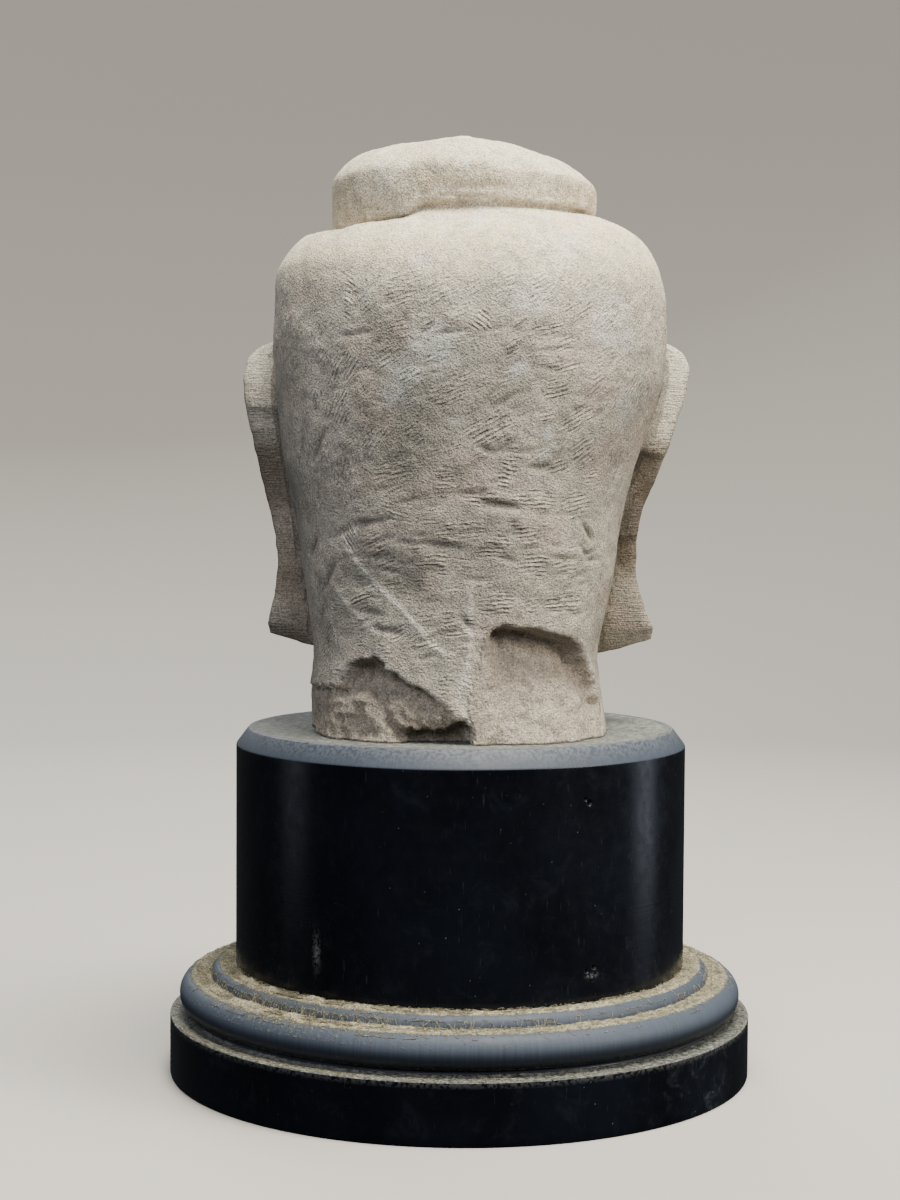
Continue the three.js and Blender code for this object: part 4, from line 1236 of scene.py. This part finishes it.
def store_wood_values(piece):
    """Dust by how far each spot faces up or lies in a crease, heavier at the back's left; a thin bloom on
    everything that leans upwards, which is also a painted reflection of the light above; a chipped and a
    rubbed spot on the drum, and a painted highlight on the rims of the top and the foot; and smears on the
    foot's right."""
    points = mesh_points(piece)
    normals = np.empty(len(points) * 3, np.float32)
    piece.data.vertices.foreach_get("normal", normals)
    facing_up = normals.reshape(-1, 3)[:, 2]
    radius, height = np.hypot(points[:, 0], points[:, 1]), points[:, 2]
    turn = np.degrees(np.arctan2(points[:, 0], points[:, 1]))
    flat_radius = DRUM_RADIUS - CHAMFER_RUN
    on_top = height > PLINTH_TOP - 0.3
    on_ledge = (height < DISC_HEIGHT + 2) & (facing_up > 0.3)
    crest = (facing_up > 0.3) & (height > DISC_HEIGHT + 4) & (height < DRUM_FOOT + 8)
    dust = np.where(on_top, 0.62 + 0.2 * (radius < flat_radius - 2), 0)
    dust = np.where(on_ledge, 0.68, dust)
    dust = np.where(crest, 0.3 + 0.6 * smoothstep(0.86, 0.99, facing_up), dust)
    dust += 0.15 * bell(turn - DUSTY_TURN, 26) * (crest | on_ledge)
    off_the_walls = (height > DISC_HEIGHT + 1) & (np.abs(radius - DRUM_RADIUS) > 0.1)
    # The bloom that leans upwards is partly dust and partly a painted reflection of the light overhead.
    haze = smoothstep(-0.95, 0.5, facing_up) * off_the_walls
    haze *= np.where(height > DRUM_FOOT + 20, 0.8, 1)
    scuff = 0
    for spot_turn, spot_height, around, up, strength in SCUFFS:
        spot = strength * bell((turn - spot_turn) * 2, around) * bell(height - spot_height, up)
        scuff = np.maximum(scuff, spot)
    # A painted highlight along the rim of the top and of the foot's disc.
    edge = bell(radius - flat_radius, 0.9) * bell(height - PLINTH_TOP, 0.9)
    edge = np.maximum(edge, 0.5 * bell(radius - FOOT_RADIUS, 1) * bell(height - DISC_HEIGHT, 1))
    give_values(
        piece,
        dust=dust,
        felt=np.where(on_top | on_ledge, 0, 1),
        haze=haze,
        scuff=np.maximum(scuff, edge * 0.6),
        smear=0.1 + 0.7 * bell(turn + 50, 9) * (height < DISC_HEIGHT + 1),
        arc=np.radians(turn) * DRUM_RADIUS,
    )


def surface_height(radius):
    """Height of the mouldings' upper surface at a radius: two half rounds over a flat ledge."""

    def crown(torus):
        reach = np.abs(radius - torus[0])
        return torus[1] + np.sqrt(np.maximum(0, torus[2] ** 2 - reach**2)) * (reach < torus[2])

    lower = np.where(np.abs(radius - LOWER_TORUS[0]) < LOWER_TORUS[2], crown(LOWER_TORUS), DISC_HEIGHT)
    return np.where(np.abs(radius - UPPER_TORUS[0]) < UPPER_TORUS[2], crown(UPPER_TORUS), lower)


# ---- Dust and lint ----
def dust_bank(fill, seed):
    """A bank of dust that fills a crease: for each turn a closed loop of 16 points, out along the fill line,
    raised and sunk by fluffy noise so that its edges come and go, and back below the wood's surface."""
    turns = np.radians(np.arange(0, 360, 0.42))
    share = np.linspace(0, 1, 13)  # from the inner edge to the outer
    top = through(fill)
    radii = mix(fill[0][0], fill[-1][0], share)
    radius, turn = np.meshgrid(radii, turns, indexing="ij")
    place = turned(radius, turn, top(radius))
    middle = np.sin(np.pi * share)[:, None]
    left = bell(np.degrees(signed(turn)) - 40, 28)
    lumps = 0.9 * noise(place, 11, seed) + 0.5 * fractal(place, 3.4, 3, seed + 1, 0.6)
    height = top(radius) + lumps * (0.35 + 0.75 * middle) * (1 + 0.5 * left) - 0.25 + 0.9 * left * middle
    below = mix(fill[0][0], fill[-1][0], np.array([0.98, 0.5, 0.02]))[:, None]
    under = turned(below, turns, fill[-1][1] - DUST_SUNK)
    rings = np.concatenate([turned(radius, turn, height), under])
    loop, around = rings.shape[:2]
    corner = np.arange(loop * around).reshape(loop, around)
    beside, onwards = np.roll(corner, -1, axis=1), np.roll(corner, -1, axis=0)
    both = np.roll(onwards, -1, axis=1)
    quads = np.stack([corner, onwards, both, beside], axis=-1).reshape(-1, 4)
    return rings.reshape(-1, 3), quads, np.empty((0, 3), int)


def fibre_paths(rng, settings):
    """Centre lines of curly fibres that lie in the plinth's creases and on its ledges, shape (count,
    points, 3). Each starts in its bed, sets off in a random direction and bends steadily, and keeps to
    the bed's width."""
    count = settings.fibres
    beds = np.array(LINT_BEDS)
    middle, half, rise, _ = beds[rng.choice(len(beds), count, p=beds[:, 3])].T
    radius = middle + half * rng.uniform(-0.9, 0.9, count)
    gathered = rng.random(count) < 0.4
    dusty = np.radians(rng.normal(DUSTY_TURN, 22, count))
    turn = np.where(gathered, dusty, rng.uniform(-np.pi, np.pi, count))
    length = np.minimum(rng.gamma(2.2, settings.fibre_length / MM / 2.2, count), 16)
    heading = turn + np.pi / 2 + rng.normal(0, 0.9, count) + np.pi * rng.integers(0, 2, count)
    bend = rng.normal(0, 2.2, count)
    t = np.linspace(0, 1, 6)[None, :]
    bearing = heading[:, None] + bend[:, None] * t
    step = length[:, None] / 5
    x = radius[:, None] * np.sin(turn)[:, None] + np.cumsum(np.sin(bearing) * step, axis=1)
    y = radius[:, None] * np.cos(turn)[:, None] + np.cumsum(np.cos(bearing) * step, axis=1)
    flat = np.hypot(x, y)
    kept = np.clip(flat, (middle - half)[:, None], (middle + half)[:, None])
    lift = rise[:, None] * rng.uniform(0.1, 1, count)[:, None] * np.sin(np.pi * (0.15 + 0.7 * t))
    z = surface_height(kept) + 0.12 + lift
    inner, outer = (np.interp(kept, *np.array(bank).T) for bank in DUST_BANKS.values())
    bank_top = np.where(kept < 121, inner, np.where((kept > 123.4) & (kept < 134), outer, 0))
    z = np.maximum(z, bank_top + 0.1 + lift)
    return np.stack([x * kept / flat, y * kept / flat, z], axis=-1)


def fibre_tubes(path, thickness):
    """Three-sided tubes along the paths, tapered towards both ends: points, four-sided faces and end
    triangles."""
    count, steps = path.shape[:2]
    ahead = np.gradient(path, axis=1)
    ahead /= np.maximum(np.linalg.norm(ahead, axis=-1, keepdims=True), 1e-9)
    side = np.cross(ahead, [0, 0, 1.0])
    side /= np.maximum(np.linalg.norm(side, axis=-1, keepdims=True), 1e-6)
    over = np.cross(side, ahead)
    taper = np.sin(np.pi * np.linspace(0.12, 0.88, steps))[None, :, None, None]
    angle = np.radians([0, 120, 240])[None, None, :, None]
    ring = side[:, :, None, :] * np.cos(angle) + over[:, :, None, :] * np.sin(angle)
    points = (path[:, :, None, :] + ring * taper * thickness).reshape(-1, 3)
    corner = np.arange(count * steps * 3).reshape(count, steps, 3)
    beside = np.roll(corner, -1, axis=2)
    quads = np.stack([corner[:, :-1], beside[:, :-1], beside[:, 1:], corner[:, 1:]], axis=-1).reshape(-1, 4)
    ends = np.concatenate([corner[:, 0, ::-1], corner[:, -1]])
    return points, quads, ends


# ---- Settings ----
class StoneHeadSettings(bpy.types.PropertyGroup):
    """Sizes of the head's tool marks and breaks."""

    tooth_pitch: FloatProperty(
        name="Tooth pitch",
        description="Distance between the toothed chisel's grooves",
        default=0.0020,
        unit="LENGTH",
    )
    tooth_depth: FloatProperty(
        name="Tooth depth", description="Half the depth of those grooves", default=0.00022, unit="LENGTH"
    )
    break_depth: FloatProperty(
        name="Break depth",
        description="How deep the breaks in the neck go",
        default=BREAK_DEPTH,
        unit="LENGTH",
    )


class WoodPlinthSettings(bpy.types.PropertyGroup):
    """Lint on the plinth."""

    fibres: IntProperty(
        name="Fibres", description="How many fibres of lint lie on the mouldings", default=5200
    )
    fibre_length: FloatProperty(
        name="Fibre length", description="Typical length of a fibre", default=0.005, unit="LENGTH"
    )
    fibre_thickness: FloatProperty(
        name="Fibre thickness",
        description="Radius of a fibre, drawn coarse to show",
        default=0.00013,
        unit="LENGTH",
    )


class StudioSettings(bpy.types.PropertyGroup):
    """Floor, light and camera."""

    floor_colour: FloatVectorProperty(
        name="Floor", description="Colour of the floor", size=4, subtype="COLOR", default=linear("#a5a29d")
    )
    key_power: FloatProperty(
        name="Key light", description="Power of the soft light overhead", default=130.0, unit="POWER"
    )
    fill_power: FloatProperty(
        name="Fill light",
        description="Power of the soft light behind the camera",
        default=24.0,
        unit="POWER",
    )
    side_power: FloatProperty(
        name="Side lights",
        description="Power of the soft light on the right; those at the sides and in front share it",
        default=28.0,
        unit="POWER",
    )
    world_strength: FloatProperty(name="Room", description="Strength of the light all round", default=0.05)
    lens: FloatProperty(name="Lens", description="Focal length of the camera in millimetres", default=63.66)


# ---- Operators ----
class STONEHEAD_OT_carve(bpy.types.Operator):
    """Carves the sandstone head: the form, the face, the ears, the tool marks and the breaks"""

    bl_idname = "stonehead.carve"
    bl_label = "Carve the head"

    def execute(self, context):
        rings = head_rings()
        ends = [(shift_x(0.0), AXIS_Y, HEAD_BASE), (0, AXIS_Y, HEAD_TOP - 0.8)]
        head = mesh_piece("sandstone_head", *closed_rings(rings, *ends))
        ears = []
        for side, name in ((1, "left_ear"), (-1, "right_ear")):
            slab, tips = ear_rings(side)
            ears.append(mesh_piece(name, *closed_rings(slab, *tips)))
        unite(head, ears)
        store_stone_values(head)
        head.data.materials.append(sandstone_material())
        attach(head, "root")
        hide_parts("stone_head")
        return {"FINISHED"}


class STONEHEAD_OT_turn_plinth(bpy.types.Operator):
    """Turns the ebonised plinth, with its worm holes and its dust"""

    bl_idname = "stonehead.turn_plinth"
    bl_label = "Turn the plinth"

    def execute(self, context):
        ends = [(0, 0, 0), (0, 0, PLINTH_TOP)]
        plinth = mesh_piece("ebonised_plinth", *closed_rings(plinth_rings(), *ends))
        store_wood_values(plinth)
        plinth.data.materials.append(ebonised_wood_material())
        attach(plinth, "root")
        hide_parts("wood_plinth")
        return {"FINISHED"}


class STONEHEAD_OT_lay_dust(bpy.types.Operator):
    """Lays banks of dust and curly lint in the plinth's creases"""

    bl_idname = "stonehead.lay_dust"
    bl_label = "Lay dust and lint"

    def execute(self, context):
        settings = context.scene.wood_plinth
        material = dust_material()
        pieces = [
            mesh_piece(name, *dust_bank(fill, 70 + 10 * number))
            for number, (name, fill) in enumerate(DUST_BANKS.items())
        ]
        path = fibre_paths(np.random.default_rng(61), settings)
        pieces.append(mesh_piece("lint", *fibre_tubes(path, settings.fibre_thickness / MM)))
        for piece in pieces:
            piece.data.materials.append(material)
            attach(piece, "root")
        return {"FINISHED"}


class STONEHEAD_OT_set_studio(bpy.types.Operator):
    """Sets up the pale floor, the soft lights and the camera"""

    bl_idname = "stonehead.set_studio"
    bl_label = "Set up the studio"

    def execute(self, context):
        studio = context.scene.studio
        floor = make_floor()
        floor.data.materials.append(floor_material(studio.floor_colour))
        # The floor is pale to look at, but like dark cloth it throws no light back on the object.
        floor.visible_glossy = floor.visible_diffuse = False
        for name, place, size, setting, share, colour in SOFTBOXES:
            add_softbox(name, place, size, getattr(studio, setting) * share, colour)
        world = bpy.data.worlds.new("studio")
        world.use_nodes = True
        background = world.node_tree.nodes["Background"]
        background.inputs["Color"].default_value = linear("#dfe3ea")
        background.inputs["Strength"].default_value = studio.world_strength
        context.scene.world = world
        place_camera(context.scene, studio.lens)
        return {"FINISHED"}


def make_floor():
    """A round floor that curves up into a wall all round: a quarter circle joins the two."""
    flat, bend, wall = 1500, 900, 1400
    curve = np.radians(np.linspace(-90, 0, 19))
    radius = np.concatenate([[200, 700, flat], flat + bend * np.cos(curve[1:]), [flat + bend]])
    height = np.concatenate([[0, 0, 0], bend + bend * np.sin(curve[1:]), [bend + wall]])
    turns = np.radians(np.arange(0, 360, 3.75))
    rings = turned(radius[:, None], turns, height[:, None])
    points, quads, fans = closed_rings(rings, (0, 0, 0), (0, 0, 0))
    # The surface faces inwards and has no lid.
    return mesh_piece("floor", points[:-1], quads[:, ::-1], fans[: len(turns), ::-1])


def add_softbox(name, place, size, power, colour):
    """A rectangular area light at a place, facing the object."""
    light = bpy.data.lights.new(name, "AREA")
    light.shape = "RECTANGLE"
    light.size, light.size_y = size
    light.energy = power
    light.color = linear(colour)[:3]
    lamp = bpy.data.objects.new(name, light)
    lamp.location = place
    lamp.rotation_euler = (Vector(LIT_POINT) - Vector(place)).to_track_quat("-Z", "Y").to_euler()
    bpy.context.scene.collection.objects.link(lamp)


def place_camera(scene, lens):
    """The camera stands a metre behind the head, low, and looks very slightly down at its back."""
    data = bpy.data.cameras.new("camera")
    data.lens = lens
    camera = bpy.data.objects.new("camera", data)
    aim = Euler((math.pi / 2 - CAMERA_TILT, 0, math.pi + CAMERA_PAN)).to_matrix()
    aim = aim @ Matrix.Rotation(CAMERA_ROLL, 3, "Z")
    camera.matrix_world = Matrix.Translation(CAMERA_PLACE) @ aim.to_4x4()
    scene.collection.objects.link(camera)
    scene.camera = camera


class STONEHEAD_PT_panel(bpy.types.Panel):
    """Lists the operators and their settings"""

    bl_label = "Stone head"
    bl_idname = "STONEHEAD_PT_panel"
    bl_space_type = "VIEW_3D"
    bl_region_type = "UI"
    bl_category = "Stone head"

    def draw(self, context):
        scene = context.scene
        for operators, settings in (
            ((STONEHEAD_OT_carve,), scene.stone_head),
            ((STONEHEAD_OT_turn_plinth, STONEHEAD_OT_lay_dust), scene.wood_plinth),
            ((STONEHEAD_OT_set_studio,), scene.studio),
        ):
            box = self.layout.box()
            for operator in operators:
                box.operator(operator.bl_idname)
            for name in settings.__annotations__:
                box.prop(settings, name)


SETTINGS = {"stone_head": StoneHeadSettings, "wood_plinth": WoodPlinthSettings, "studio": StudioSettings}
OPERATORS = (STONEHEAD_OT_set_studio, STONEHEAD_OT_carve, STONEHEAD_OT_turn_plinth, STONEHEAD_OT_lay_dust)


def register():
    for cls in (*SETTINGS.values(), *OPERATORS, STONEHEAD_PT_panel):
        bpy.utils.register_class(cls)
    for name, cls in SETTINGS.items():
        setattr(bpy.types.Scene, name, PointerProperty(type=cls))


def unregister():
    for name in SETTINGS:
        delattr(bpy.types.Scene, name)
    for cls in (STONEHEAD_PT_panel, *reversed(OPERATORS), *reversed(SETTINGS.values())):
        bpy.utils.unregister_class(cls)


def main():
    register()
    bpy.ops.stonehead.set_studio()
    bpy.ops.stonehead.carve()
    bpy.ops.stonehead.turn_plinth()
    bpy.ops.stonehead.lay_dust()


if __name__ == "__main__":
    main()
